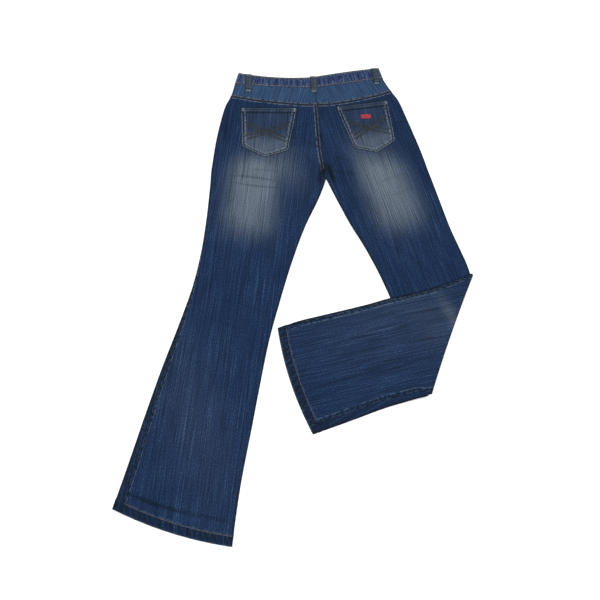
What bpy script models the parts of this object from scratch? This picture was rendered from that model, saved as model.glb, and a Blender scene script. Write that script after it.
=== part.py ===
"""Bootcut jeans laid flat on their front, with the wearer's right leg folded at the knee.

Every cloth piece is a thin closed wall. The two legs are flat tubes: a table of sections
gives the outline, how far the top panel lies above the bottom one and where the side seams
run, and the panels are read off those tubes. All sizes are in millimetres, with +X to the
wearer's right, +Y to the waist and +Z up, and MM turns them into Blender's metres.
"""
import math
from collections import namedtuple

import bmesh
import bpy
from mathutils import Vector
from mathutils.bvhtree import BVHTree

MM = 0.001

# Plan place of the crotch point, measured from the middle of the whole outline.
CROTCH_AT = (63.28, 245.43)

# Cloth.
WALL = 1.2
BAND_WALL = 2.4
HEM_WALL = 2.2
HEM_WIDTH = 20.0
POCKET_HEM_WALL = 1.8
POCKET_HEM_WIDTH = 20.0
POCKET_COLUMNS = 6
POCKET_ROWS = 5
HEM_STEP = 1.5
GAP = 0.3
HALF_GAP = 0.17
SIDE_SEAM_GAP = 0.3
REST = WALL / 2

# How a leg's tube closes at its edges.
RIDGE_REACH = 16.0
FIRST_COLUMN = 0.5
COLUMN_STEP = 1.2
MIDDLE_SPANS = 4
ROWS_PER_SECTION = 2
FRONT_DIP = 14.0

# Knee fold: the height of the line that the leg turns about, and each layer's turn.
FOLD_RADIUS = 4.8
FOLD_HEIGHT = REST + FOLD_RADIUS
FOLD_STEPS = 6
FOLD_SETTLE = 60.0
SHIN_ON_THIGH = 5.7
SHIN_ON_FLOOR = REST
DROP_START = 3.0
DROP_RUN = 48.0
THIGH_EDGE = (Vector((121, -300)), Vector((199, -529)))

Section = namedtuple(
    "Section",
    "name outer_x outer_y inner_x inner_y bow base loft ridge curl outer_seam inner_seam scoop",
)
Station = namedtuple("Station", Section._fields[1:] + ("hand",))

# One row for each section of a leg, from the waist down. Bow: how far the section's middle
# lies up the leg. Base: the bottom panel's height off the floor. Loft and ridge: how
# far the top panel lies above the bottom one, at the middle and along the edges. Curl: 1 where
# the inner edge is closed as a tube, 0 where it is the centre seam. Seams: distance of the side
# seam round the edge, negative on the front. Scoop: depth of the front pocket's cut.
LEFT_LEG = (
    Section("band top", -205, 297, -20, 291, -7, 1.5, 5.4, 5.4, 0, -6.5, 0, 95),
    Section("band seam", -214, 265, -17, 260, -4, 1.5, 6.0, 6.0, 0, -6.5, 0, 95),
    Section("yoke seam", -223, 230, -13, 211, -5, 1.5, 5.6, 5.8, 0, -6.5, 0, 80),
    Section("pocket top", -238, 196, -11, 180, -3, 0.0, 5.3, 5.4, 0, -6.3, 0, 50),
    Section("high hip", -252, 136, -10, 130, 0, 0.0, 4.4, 5.0, 0, -6.0, 0, 8),
    Section("hip", -261, 84, -8, 75, 0, 0.0, 4.0, 4.6, 0, -5.6, 0, 0),
    Section("seat", -266, 44, -3, 30, 0, 0.0, 3.2, 4.3, 0, -5.2, 0, 0),
    Section("crotch", -270, 8, 0, 0, 0, 0.0, 2.6, 4.1, 0, -5.0, 0, 0),
    Section("below the crotch", -271, -14, -7, -20, 0, 0.0, 2.4, 4.1, 1, -5.0, 0, 0),
    Section("upper thigh", -273, -42, -22, -57, 0, 0.0, 2.2, 4.1, 1, -5.0, -5, 0),
    Section("thigh", -279, -112, -57, -132, 0, 0.0, 2.0, 4.1, 1, -5.0, -5, 0),
    Section("low thigh", -290, -198, -90, -222, 0, 0.0, 2.0, 4.1, 1, -2.0, -5, 0),
    Section("above knee", -307, -280, -119, -316, 0, 0.0, 2.0, 4.1, 1, 1.0, -5, 0),
    Section("knee", -335, -371, -144, -405, 0, 0.0, 2.0, 4.1, 1, 6.0, -5, 0),
    Section("upper shin", -365, -460, -164, -498, 0, 0.0, 2.0, 4.1, 1, 10.0, -5, 0),
    Section("shin", -394, -555, -183, -592, 0, 0.0, 2.0, 4.1, 1, 13.0, -5, 0),
    Section("low shin", -424, -658, -206, -705, 0, 0.0, 2.2, 4.2, 1, 16.0, -5, 0),
    Section("hem", -449, -742, -223, -817, -9, 0.0, 2.8, 4.6, 1, 17.0, -5, 0),
)
RIGHT_THIGH = (
    Section("band top", 151, 326, -20, 291, 2, 1.5, 5.4, 5.4, 0, -6.5, 0, 95),
    Section("band seam", 159, 295, -17, 260, -1, 1.5, 6.0, 6.0, 0, -6.5, 0, 95),
    Section("yoke seam", 176, 259, -13, 211, -7, 1.5, 5.6, 5.8, 0, -6.5, 0, 80),
    Section("pocket top", 194, 229, -11, 180, -4, 0.0, 5.3, 5.4, 0, -6.3, 0, 50),
    Section("high hip", 211, 174, -10, 130, 0, 0.0, 4.4, 5.0, 0, -6.0, 0, 8),
    Section("hip", 223, 132, -8, 75, 0, 0.0, 4.0, 4.6, 0, -5.6, 0, 0),
    Section("seat", 235, 88, -3, 30, 0, 0.0, 3.2, 4.3, 0, -5.2, 0, 0),
    Section("crotch", 244, 50, 0, 0, 0, 0.0, 2.6, 4.1, 0, -5.0, 0, 0),
    Section("below the crotch", 249, 26, 8, -20, 0, 0.0, 2.4, 4.1, 1, -5.0, 0, 0),
    Section("upper thigh", 256, -3, 23, -57, 0, 0.0, 2.2, 4.1, 1, -5.0, -5, 0),
    Section("thigh", 270, -64, 50, -120, 0, 0.0, 2.0, 4.1, 1, -5.0, -5, 0),
    Section("low thigh", 286, -132, 81, -182, 0, 0.0, 2.0, 4.0, 1, -5.0, -5, 0),
    Section("above knee", 304, -190, 112, -256, 0, 0.0, 2.0, 3.3, 1, -5.0, -5, 0),
    Section("turning", 314, -223, 152, -378, 3, 0.0, 2.2, 2.6, 1, -5.0, -5, 0),
    Section("fold line", 319, -249, 193, -524, 6, 0.0, 2.4, 2.4, 1, -5.0, -5, 0),
)
RIGHT_SHIN = (
    Section("fold line", 319, -249, 193, -524, -6, 0.0, 2.4, 2.4, 1, -5.0, -5, 0),
    Section("turning", 225, -284, 187, -530, -3, 0.0, 2.2, 3.0, 1, -5.0, -9, 0),
    Section("knee", 125, -309, 165, -535, 0, 0.0, 2.2, 3.8, 1, -5.0, -15, 0),
    Section("upper shin", 40, -331, 97, -553, 0, 0.0, 2.0, 4.1, 1, -5.0, -17, 0),
    Section("shin", -25, -347, 33, -575, -2, 0.0, 2.0, 4.1, 1, -5.0, -18, 0),
    Section("low shin", -80, -361, -17, -592, -6, 0.0, 2.2, 4.2, 1, -5.0, -18, 0),
    Section("hem", -124, -377, -58, -605, -10, 0.0, 2.8, 4.6, 1, -5.0, -18, 0),
)
BAND_TOP, BAND_SEAM, YOKE_SEAM = range(3)
CROTCH = 7

Crease = namedtuple("Crease", "name x y angle half_length half_width height")

# Soft ridges of the cloth that lies on top, seen from above. Angle in degrees from +X.
LEFT_CREASES = (
    Crease("under the pocket", -150, 40, 4, 60, 20, 1.4),
    Crease("across the thigh", -165, -4, -4, 55, 12, 1.6),
    Crease("lower across the thigh", -150, -62, -12, 60, 16, 1.1),
    Crease("down the thigh", -205, -190, -76, 90, 24, 1.3),
    Crease("inside the knee", -185, -330, -60, 80, 22, 1.5),
    Crease("behind the knee", -240, -400, -25, 70, 18, 1.3),
    Crease("down the shin", -275, -560, -72, 110, 26, 1.6),
    Crease("above the hem", -320, -700, -18, 70, 16, 1.2),
)
RIGHT_CREASES = (
    Crease("under the pocket", 118, 38, 12, 58, 20, 1.4),
    Crease("beside the crotch", 45, 30, -18, 34, 12, 1.2),
    Crease("down the thigh", 150, -60, -68, 85, 26, 1.4),
    Crease("outside the thigh", 225, -120, -70, 60, 18, 1.0),
)
SHIN_CREASES = (
    Crease("from the fold", 190, -400, 14, 60, 22, 1.5),
    Crease("along the shin", 60, -480, 17, 90, 18, 1.7),
    Crease("upper shin", 40, -400, 12, 80, 22, 1.4),
    Crease("above the hem", -60, -470, 70, 60, 14, 1.3),
)

Loop = namedtuple("Loop", "name high_x high_y low_x low_y")

# How far a piece lies off what carries it, and the reach of the search for what it lies on.
LAID_LIFT = GAP + 0.1
FEELER = 2.5

BELT_LOOP_WIDTH = 15.0
BELT_LOOP_BOW = 1.6
BELT_LOOP_STEPS = 10
FLOOR_LOOP_STEPS = 4
BACK_LOOPS = (
    Loop("belt_loop_left", -181, 291, -182, 239),
    Loop("belt_loop_centre", -19, 290, -19, 244),
    Loop("belt_loop_right", 137, 324, 143, 274),
)
FRONT_LOOPS = (
    Loop("belt_loop_front_left", -128, 281, -131, 228),
    Loop("belt_loop_front_right", 68, 304, 75, 246),
)

Pocket = namedtuple("Pocket", "name top_left top_right low_right tip low_left")

POCKETS = (
    Pocket("pocket_left", (-200, 193), (-63, 196), (-88, 74), (-143, 54), (-198, 82)),
    Pocket("pocket_right", (34, 203), (165, 226), (175, 108), (127, 74), (72, 84)),
)
TAB_AT = (107, 176)
TAB_SIZE = (24, 10)
TAB_WALL = 0.8
TAB_ANGLE = 4.0
TAB_COLUMNS = 3

# Scoop pockets' facings: where they start and end down the leg, counted in sections, how far
# they reach past the pocket's mouth, and how far they stay inside the leg's edge.
FACING_RUN = (1.06, 3.8)
FACING_OVERLAP = 15.0
FACING_EDGE = 4.2
FACING_ROWS = 5
FACING_COLUMNS = 4

Fly = namedtuple("Fly", "along lift")

# Heights of the fly's layers above the front panels, down the centre line from the band seam,
# and how far each reaches to the wearer's left and right of it.
ZIP_RUN = (Fly(1.08, 2.7), Fly(1.75, 2.7), Fly(2.3, 1.4), Fly(3.4, 1.4))
SHIELD_RUN = (Fly(1.06, 4.1), Fly(1.75, 4.1), Fly(2.3, 2.8), Fly(3.6, 2.8))
SLIDER_RUN = (Fly(1.2, 1.45), Fly(1.45, 1.45), Fly(1.7, 1.45))
FLY_COLUMNS = 3
ZIP_SPAN = (-20.0, 8.0)
ZIP_WALL = 0.8
SHIELD_SPAN = (-34.0, 14.0)
SLIDER_SPAN = (-11.0, -3.0)
SLIDER_WALL = 1.1
BUTTON_RADIUS = 8.5
BUTTON_WALL = 1.2
BUTTON_SIDES = 28
BUTTON_BEVEL = 0.3
SHARP_CORNER = math.radians(35)

# Waistband: the lap of its ends past the centre front, where the under end steps up to lie on
# the other, and the places along each quarter, from the side to the centre.
LAP_OVER = 18.0
LAP_UNDER = 22.0
LAP_RISE = (20.0, 34.0)
LAP_CENTRE = 0.5
BAND_COLUMNS = 3
BAND_PLACES = (0.05, 0.15, 0.35, 0.55, 0.75, 0.94)
BAND_TURN = (-90, -45, 0, 45, 90)

DENIM = ("denim", (0.045, 0.085, 0.19), 0.9, 0.0)
LOOP_DENIM = ("faded denim", (0.10, 0.12, 0.15), 0.9, 0.0)
RED_TAPE = ("red woven tape", (0.45, 0.03, 0.03), 0.8, 0.0)
COTTON_TAPE = ("navy cotton tape", (0.03, 0.05, 0.10), 0.85, 0.0)
BRASS = ("antique brass", (0.35, 0.24, 0.12), 0.4, 1.0)


def lerp(a, b, t):
    """Value a share t of the way from a to b."""
    return a + (b - a) * t


def ease(t):
    """Smooth step from 0 to 1 as t goes from 0 to 1."""
    t = min(max(t, 0.0), 1.0)
    return t * t * (3 - 2 * t)


def curve_point(points, place, corner=0):
    """Point of a smooth curve through points, at a place counted in spans, bent at a corner."""
    if place >= corner:
        first, last = corner, len(points) - 1
    else:
        first, last = 0, corner
    span = min(int(place), last - 1)
    t = place - span

    def slope(i):
        before, after = max(i - 1, first), min(i + 1, last)
        run = sum((points[k + 1] - points[k]).length for k in range(before, after))
        return (points[after] - points[before]) / run

    a, b = points[span], points[span + 1]
    reach = (b - a).length
    m0, m1 = slope(span) * reach, slope(span + 1) * reach
    t2, t3 = t * t, t * t * t
    return a * (2 * t3 - 3 * t2 + 1) + m0 * (t3 - 2 * t2 + t) + b * (3 * t2 - 2 * t3) + m1 * (t3 - t2)


def section_at(table, place):
    """Section of a leg at a place counted in rows of its table, with the hand that it runs to."""
    span = min(int(place), len(table) - 2)
    t = place - span
    corner = 0 if table is RIGHT_SHIN else CROTCH
    outer = curve_point([Vector((s.outer_x, s.outer_y)) for s in table], place)
    inner = curve_point([Vector((s.inner_x, s.inner_y)) for s in table], place, corner)
    above, below = table[span], table[span + 1]
    rest = [lerp(a, b, t) for a, b in zip(above[5:], below[5:])]
    hand = -1 if table is RIGHT_THIGH else 1
    return Station(outer.x, outer.y, inner.x, inner.y, *rest, hand)


def crease_height(creases, x, y):
    """Height that the soft ridges add at a plan point."""
    total = 0.0
    for c in creases:
        turn = math.radians(c.angle)
        dx, dy = x - c.x, y - c.y
        along = dx * math.cos(turn) + dy * math.sin(turn)
        across = dy * math.cos(turn) - dx * math.sin(turn)
        total += c.height * math.exp(-((along / c.half_length) ** 2) - (across / c.half_width) ** 2)
    return total


def edge_marks(seam, radius, front):
    """Places round a tube's edge, from the seam inwards, for the front or the back panel."""
    quarter = radius * math.pi / 2
    bends = (-quarter, -quarter / 2, 0.0, quarter / 2, quarter, quarter + 4)
    marks = [seam - SIDE_SEAM_GAP if front else seam + SIDE_SEAM_GAP]
    for k, bend in enumerate(bends):
        clear = SIDE_SEAM_GAP + FIRST_COLUMN + k * COLUMN_STEP
        marks.append(min(-bend, seam - clear) if front else max(bend, seam + clear))
    return marks


def round_edge(mark, radius):
    """Distance in from the outline, and share of the tube's height, at a place round its edge."""
    quarter = radius * math.pi / 2
    if mark < -quarter:
        return radius - quarter - mark, 0.0
    if mark > quarter:
        return radius - quarter + mark, 1.0
    angle = mark / radius
    return radius * (1 - math.cos(angle)), (1 + math.sin(angle)) / 2


def span_of(section):
    """Outer end, direction across, width and upward bow of a section, in plan."""
    outer = Vector((section.outer_x, section.outer_y))
    inner = Vector((section.inner_x, section.inner_y))
    width = (inner - outer).length
    across = (inner - outer) / width
    return outer, across, width, Vector((-across.y, across.x)) * section.bow * section.hand


def tube_row(section, creases, front, dip=0.0):
    """Points across one panel at one section: plan point, share of height and loft there."""
    outer, across, width, bow = span_of(section)
    radius = section.ridge / 2

    outer_seam = section.outer_seam
    if front and section.scoop > 0:
        outer_seam = min(outer_seam, -section.scoop)
    places = []
    for mark in edge_marks(outer_seam, radius, front):
        places.append(round_edge(mark, radius))
    inner_places = []
    for flat_mark, mark in zip(edge_marks(0, radius, front), edge_marks(section.inner_seam, radius, front)):
        near, share = round_edge(mark, radius)
        flat = abs(flat_mark) - SIDE_SEAM_GAP + HALF_GAP
        level = 0.0 if front else 1.0
        inner_places.append((lerp(flat, near, section.curl), lerp(level, share, section.curl)))
    start, end = places[-1][0], width - inner_places[-1][0]
    for k in range(1, MIDDLE_SPANS):
        places.append((lerp(start, end, k / MIDDLE_SPANS), 0.0 if front else 1.0))
    places += [(width - near, share) for near, share in reversed(inner_places)]

    row = []
    for distance, share in places:
        u = distance / width
        plan = outer + across * distance + bow * 4 * u * (1 - u)
        plan.y -= dip * ease(u)
        outer_bell = math.exp(-(max(distance - radius, 0) / RIDGE_REACH) ** 2)
        inner_bell = math.exp(-(max(width - distance - radius, 0) / RIDGE_REACH) ** 2) * section.curl
        loft = section.loft + (section.ridge - section.loft) * max(outer_bell, inner_bell)
        loft += crease_height(creases, plan.x, plan.y) * (1 - outer_bell) * (1 - inner_bell)
        row.append((plan, share, loft))
    return row


def laid_row(section, creases, front, dip=0.0):
    """A row of the part that lies on its front: the front below and the back above."""
    points = []
    for plan, share, loft in tube_row(section, creases, front, dip):
        points.append(Vector((plan.x, plan.y, REST + section.base + share * loft)))
    return points


def fold_outwards():
    """Plan direction across the fold line, away from the thigh."""
    line = RIGHT_SHIN[0]
    run = Vector((line.inner_x - line.outer_x, line.inner_y - line.outer_y)).normalized()
    return Vector((-run.y, run.x))


def turned_row(angle, front):
    """A row part of the way round the knee fold."""
    out = fold_outwards()
    points = []
    for plan, share, loft in tube_row(section_at(RIGHT_SHIN, 0), (), front):
        radius = FOLD_RADIUS - share * loft
        place = plan + out * radius * math.sin(angle)
        points.append(Vector((place.x, place.y, FOLD_HEIGHT - radius * math.cos(angle))))
    return points


def shin_rest(plan):
    """Height that the folded shin's lower layer lies at: on the thigh, then on the floor."""
    start, end = THIGH_EDGE
    run = (end - start).normalized()
    beyond = (plan - start).dot(Vector((run.y, -run.x)))
    return lerp(SHIN_ON_THIGH, SHIN_ON_FLOOR, ease((beyond - DROP_START) / DROP_RUN))


def folded_row(section, front):
    """A row of the folded shin: the back below and the front above."""
    fold = RIGHT_SHIN[0]
    axis = Vector((fold.outer_x, fold.outer_y))
    points = []
    for plan, share, loft in tube_row(section, SHIN_CREASES, front):
        away = -(plan - axis).dot(fold_outwards())
        settled = ease(away / FOLD_SETTLE)
        lower = lerp(FOLD_HEIGHT + FOLD_RADIUS - loft, shin_rest(plan), settled)
        points.append(Vector((plan.x, plan.y, lower + (1 - share) * loft)))
    return points


def row_places(first, last, step, with_hem, run):
    """Places down a leg, counted in sections, with close rows at a turned hem."""
    count = round((last - first) * step)
    places = [lerp(first, last, k / count) for k in range(count + 1)]
    walls = [WALL] * len(places)
    if with_hem:
        turn = HEM_WIDTH / run
        places[-1:] = [last - turn - HEM_STEP / run, last - turn, last]
        walls[-1:] = [WALL, HEM_WALL, HEM_WALL]
    return places, walls


def set_apart(rows, start, end):
    """Pull the first and last rows back by half a seam's gap."""
    for place, beside, pull in ((0, 1, start), (-1, -2, end)):
        if not pull:
            continue
        rows[place] = [a + (b - a).normalized() * HALF_GAP for a, b in zip(rows[place], rows[beside])]
    return rows


def hem_lift(rows, walls, front_below):
    """Raise thick hem rows so that their underside stays on what they lie on."""
    for row, wall in zip(rows, walls):
        rise = (wall - WALL) / 2
        for point in row:
            point.z += rise if front_below else 3 * rise
    return rows


def leg_panel(name, leg, creases, front, first):
    """Front or back panel of a leg that lies flat, from a section down to its hem."""
    last = len(leg) - 1
    run = Vector((leg[-1].outer_x - leg[-2].outer_x, leg[-1].outer_y - leg[-2].outer_y)).length
    places, walls = row_places(first, last, ROWS_PER_SECTION, True, run)
    rows = panel_rows(leg, creases, front, places)
    rows = hem_lift(rows, walls, front)
    return wall_object(name, set_apart(rows, True, False), walls, DENIM)


def panel_rows(leg, creases, front, places):
    """Rows of a flat panel, with the front's waist dipping at the centre."""
    rows = []
    for place in places:
        dip = FRONT_DIP * (1 - ease(place - BAND_SEAM)) if front else 0.0
        rows.append(laid_row(section_at(leg, place), creases, front, dip))
    return rows


def folded_panel(name, front, first):
    """Front or back panel of the folded leg: thigh, turn at the knee, and shin."""
    thigh_last, shin_last = len(RIGHT_THIGH) - 1, len(RIGHT_SHIN) - 1
    places, walls = row_places(first, thigh_last, ROWS_PER_SECTION, False, 1)
    rows = panel_rows(RIGHT_THIGH, RIGHT_CREASES, front, places)
    for k in range(1, FOLD_STEPS):
        rows.append(turned_row(math.pi * k / FOLD_STEPS, front))
        walls.append(WALL)
    run = Vector((RIGHT_SHIN[-1].outer_x - RIGHT_SHIN[-2].outer_x,
                  RIGHT_SHIN[-1].outer_y - RIGHT_SHIN[-2].outer_y)).length
    shin_places, shin_walls = row_places(0, shin_last, ROWS_PER_SECTION, True, run)
    shin_rows = [folded_row(section_at(RIGHT_SHIN, place), front) for place in shin_places]
    rows += hem_lift(shin_rows, shin_walls, not front)
    walls += shin_walls
    return wall_object(name, set_apart(rows, True, False), walls, DENIM)


def yoke(name, leg, creases):
    """Back yoke between the waistband and the back panel."""
    places, walls = row_places(BAND_SEAM, YOKE_SEAM, ROWS_PER_SECTION, False, 1)
    rows = panel_rows(leg, creases, False, places)
    return wall_object(name, set_apart(rows, True, True), walls, DENIM)


def front_level(leg, place, inward, lift):
    """Point above a front panel, inward millimetres from the outline along its section."""
    section = section_at(leg, place)
    outer, across, width, bow = span_of(section)
    u = inward / width
    plan = outer + across * inward + bow * 4 * u * (1 - u)
    plan.y -= FRONT_DIP * (1 - ease(place - BAND_SEAM)) * ease(u)
    return Vector((plan.x, plan.y, REST + section.base + lift))


def facing(name, leg):
    """Scoop pocket's facing, on the inside of the front panel."""
    rows = []
    for k in range(FACING_ROWS + 1):
        place = lerp(*FACING_RUN, k / FACING_ROWS)
        far = section_at(leg, place).scoop + FACING_OVERLAP
        row = []
        for j in range(FACING_COLUMNS + 1):
            inward = lerp(FACING_EDGE, far, j / FACING_COLUMNS)
            row.append(front_level(leg, place, inward, WALL + GAP))
        rows.append(row)
    return wall_object(name, rows, [WALL] * len(rows), DENIM)


def fly_strip(name, run, span, wall, finish):
    """Strip along the centre front, on the inside of the front panels."""
    rows = []
    for mark in run:
        centre = section_at(LEFT_LEG, mark.along)
        dip = FRONT_DIP * (1 - ease(mark.along - BAND_SEAM))
        height = REST + centre.base + mark.lift
        row = []
        for k in range(FLY_COLUMNS + 1):
            across = centre.inner_x + lerp(*span, k / FLY_COLUMNS)
            row.append(Vector((across, centre.inner_y - dip, height)))
        rows.append(row)
    return wall_object(name, rows, [wall] * len(rows), finish)


def band_point(leg, edge, u, front):
    """Plan point of the waistband's top or seam edge, u from the side to the centre."""
    outer, across, width, bow = span_of(section_at(leg, edge))
    plan = outer + across * width * u + bow * 4 * u * (1 - u)
    if front:
        plan.y -= FRONT_DIP * ease(u)
    return plan


def waistband():
    """One strip round the waist, flattened, with its ends lapped at the centre front."""
    low = LEFT_LEG[BAND_TOP].base + BAND_WALL / 2
    high = low + LEFT_LEG[BAND_TOP].loft
    radius = LEFT_LEG[BAND_TOP].loft / 2
    under = low + BAND_WALL + GAP
    stations = []

    def side(leg, front, us, height):
        for u in us:
            stations.append((band_point(leg, BAND_TOP, u, front),
                             band_point(leg, BAND_SEAM, u, front), height, 0))

    def turn(leg, sense):
        for angle in BAND_TURN:
            swing = math.radians(angle) * sense
            height = low + radius + radius * math.sin(swing)
            inward = radius * (1 - math.cos(swing))
            stations.append((band_point(leg, BAND_TOP, 0, False),
                             band_point(leg, BAND_SEAM, 0, False), height, inward))

    def lap(leg, past, height):
        span = abs(leg[BAND_SEAM].outer_x - leg[BAND_SEAM].inner_x)
        u = 1 - past / span
        stations.append((band_point(leg, BAND_TOP, u, True), band_point(leg, BAND_SEAM, u, True), height, 0))

    outwards = BAND_PLACES[::-1]
    lap(RIGHT_THIGH, LAP_OVER, low)
    lap(RIGHT_THIGH, LAP_CENTRE, low)
    side(LEFT_LEG, True, outwards, low)
    turn(LEFT_LEG, 1)
    side(LEFT_LEG, False, BAND_PLACES, high)
    side(RIGHT_THIGH, False, (1.0,) + outwards, high)
    turn(RIGHT_THIGH, -1)
    side(RIGHT_THIGH, True, BAND_PLACES[:-1], low)
    lap(RIGHT_THIGH, LAP_RISE[1], low)
    lap(RIGHT_THIGH, LAP_RISE[0], under)
    lap(RIGHT_THIGH, LAP_CENTRE, under)
    lap(LEFT_LEG, LAP_UNDER, under)

    centre_x = LEFT_LEG[BAND_SEAM].inner_x
    rows = []
    for top, seam, height, inward in stations:
        shift = Vector((inward if top.x < centre_x else -inward, 0))
        down = (top - seam).normalized() * HALF_GAP
        row = []
        for k in range(BAND_COLUMNS + 1):
            plan = top.lerp(seam + down, k / BAND_COLUMNS) + shift
            row.append(Vector((plan.x, plan.y, height)))
        rows.append(row)
    return wall_object("waistband", rows, [BAND_WALL] * len(rows), DENIM)


def surface_of(solids):
    """Search trees of finished solids, for laying other pieces on them."""
    trees = []
    for solid in solids:
        mesh = solid.data
        points = [v.co.copy() for v in mesh.vertices]
        faces = [tuple(p.vertices) for p in mesh.polygons]
        trees.append(BVHTree.FromPolygons(points, faces))
    return trees


def top_height(trees, x, y):
    """Highest point of solids within a small cross round a plan point, in millimetres."""
    best = 0.0
    for dx, dy in ((0, 0), (FEELER, 0), (-FEELER, 0), (0, FEELER), (0, -FEELER)):
        start = Vector(((x + dx + CROTCH_AT[0]) * MM, (y + dy + CROTCH_AT[1]) * MM, 1.0))
        for tree in trees:
            hit = tree.ray_cast(start, Vector((0, 0, -1)))[0]
            if hit:
                best = max(best, hit.z / MM)
    return best


def pocket(shape, trees):
    """Patch pocket that lies on a back panel, with a thicker hem along its mouth."""
    length = (Vector(shape.top_left) - Vector(shape.low_left)).length
    turn = POCKET_HEM_WIDTH / length
    step = HEM_STEP / length
    shares = [0, turn / 2, turn - step, turn]
    shares += [lerp(turn, 1, k / POCKET_ROWS) for k in range(1, POCKET_ROWS + 1)]
    walls = [POCKET_HEM_WALL] * 3 + [WALL] * (POCKET_ROWS + 1)
    corners = [Vector(p) for p in (shape.low_left, shape.tip, shape.low_right)]
    rows = []
    for share, wall in zip(shares, walls):
        row = []
        for k in range(POCKET_COLUMNS + 1):
            u = k / POCKET_COLUMNS
            top = Vector(shape.top_left).lerp(Vector(shape.top_right), u)
            low = corners[0].lerp(corners[1], u * 2) if u < 0.5 else corners[1].lerp(corners[2], u * 2 - 1)
            plan = top.lerp(low, share)
            height = top_height(trees, plan.x, plan.y) + LAID_LIFT + wall / 2
            row.append(Vector((plan.x, plan.y, height)))
        rows.append(row)
    return wall_object(shape.name, rows, walls, DENIM)


def belt_loop(loop, trees):
    """Belt loop laid over the back of the waistband and bowed a little off it."""
    high, low = Vector((loop.high_x, loop.high_y)), Vector((loop.low_x, loop.low_y))
    side = Vector((-(low - high).y, (low - high).x)).normalized() * BELT_LOOP_WIDTH / 2
    rows = []
    for k in range(BELT_LOOP_STEPS + 1):
        middle = high.lerp(low, k / BELT_LOOP_STEPS)
        lift = LAID_LIFT + WALL / 2 + BELT_LOOP_BOW * math.sin(math.pi * k / BELT_LOOP_STEPS)
        row = []
        for across in (-1, 0, 1):
            plan = middle + side * across
            row.append(Vector((plan.x, plan.y, top_height(trees, plan.x, plan.y) + lift)))
        height = max(point.z for point in row)
        rows.append([Vector((p.x, p.y, height)) for p in row])
    return wall_object(loop.name, rows, [WALL] * len(rows), LOOP_DENIM)


def floor_loop(loop):
    """Belt loop of the front, flat on the floor under the waistband."""
    high, low = Vector((loop.high_x, loop.high_y)), Vector((loop.low_x, loop.low_y))
    side = Vector((-(low - high).y, (low - high).x)).normalized() * BELT_LOOP_WIDTH / 2
    rows = []
    for k in range(FLOOR_LOOP_STEPS + 1):
        middle = high.lerp(low, k / FLOOR_LOOP_STEPS)
        rows.append([Vector((*(middle + side * across), REST)) for across in (-1, 0, 1)])
    return wall_object(loop.name, rows, [WALL] * len(rows), LOOP_DENIM)


def pocket_tab(trees):
    """Small plain tape sewn to the right pocket."""
    turn = math.radians(TAB_ANGLE)
    along = Vector((math.cos(turn), math.sin(turn)))
    up = Vector((-along.y, along.x))
    rows = []
    for v in (0.5, 0.0, -0.5):
        row = []
        for k in range(TAB_COLUMNS + 1):
            u = k / TAB_COLUMNS - 0.5
            plan = Vector(TAB_AT) + along * TAB_SIZE[0] * u + up * TAB_SIZE[1] * v
            height = top_height(trees, plan.x, plan.y) + LAID_LIFT + TAB_WALL / 2
            row.append(Vector((plan.x, plan.y, height)))
        rows.append(row)
    return wall_object("pocket_tab", rows, [TAB_WALL] * len(rows), RED_TAPE)


def button():
    """Waist button's cap, under the lapped end of the waistband."""
    top = band_point(RIGHT_THIGH, BAND_TOP, 1, True)
    seam = band_point(RIGHT_THIGH, BAND_SEAM, 1, True)
    at = top.lerp(seam, 0.5)
    mesh = bpy.data.meshes.new("fly_button")
    bm = bmesh.new()
    bmesh.ops.create_cone(bm, cap_ends=True, segments=BUTTON_SIDES, radius1=BUTTON_RADIUS * MM,
                          radius2=BUTTON_RADIUS * MM, depth=BUTTON_WALL * MM)
    rim = [e for e in bm.edges if e.calc_face_angle() > SHARP_CORNER]
    bmesh.ops.bevel(bm, geom=rim, offset=BUTTON_BEVEL * MM, segments=1, affect="EDGES")
    place = Vector((at.x + CROTCH_AT[0], at.y + CROTCH_AT[1], BUTTON_WALL / 2)) * MM
    bmesh.ops.translate(bm, verts=bm.verts, vec=place)
    bm.to_mesh(mesh)
    bm.free()
    mesh.shade_smooth()
    mesh.set_sharp_from_angle(angle=SHARP_CORNER)
    return add_object("fly_button", mesh, BRASS)


def material(finish):
    """Material for a piece, made once for each finish."""
    name, colour, roughness, metallic = finish
    if name in bpy.data.materials:
        return bpy.data.materials[name]
    made = bpy.data.materials.new(name)
    made.use_nodes = True
    shader = made.node_tree.nodes["Principled BSDF"]
    shader.inputs["Base Color"].default_value = (*colour, 1)
    shader.inputs["Roughness"].default_value = roughness
    shader.inputs["Metallic"].default_value = metallic
    return made


def add_object(name, mesh, finish):
    """Link a finished mesh into the scene as a named piece."""
    mesh.materials.append(material(finish))
    piece = bpy.data.objects.new(name, mesh)
    bpy.context.scene.collection.objects.link(piece)
    return piece


def row_normals(rows):
    """Unit normal of a grid of points at each point."""
    count, width = len(rows), len(rows[0])
    normals = []
    for i in range(count):
        line = []
        for j in range(width):
            down = rows[min(i + 1, count - 1)][j] - rows[max(i - 1, 0)][j]
            over = rows[i][min(j + 1, width - 1)] - rows[i][max(j - 1, 0)]
            line.append(down.cross(over).normalized())
        normals.append(line)
    return normals


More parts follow.
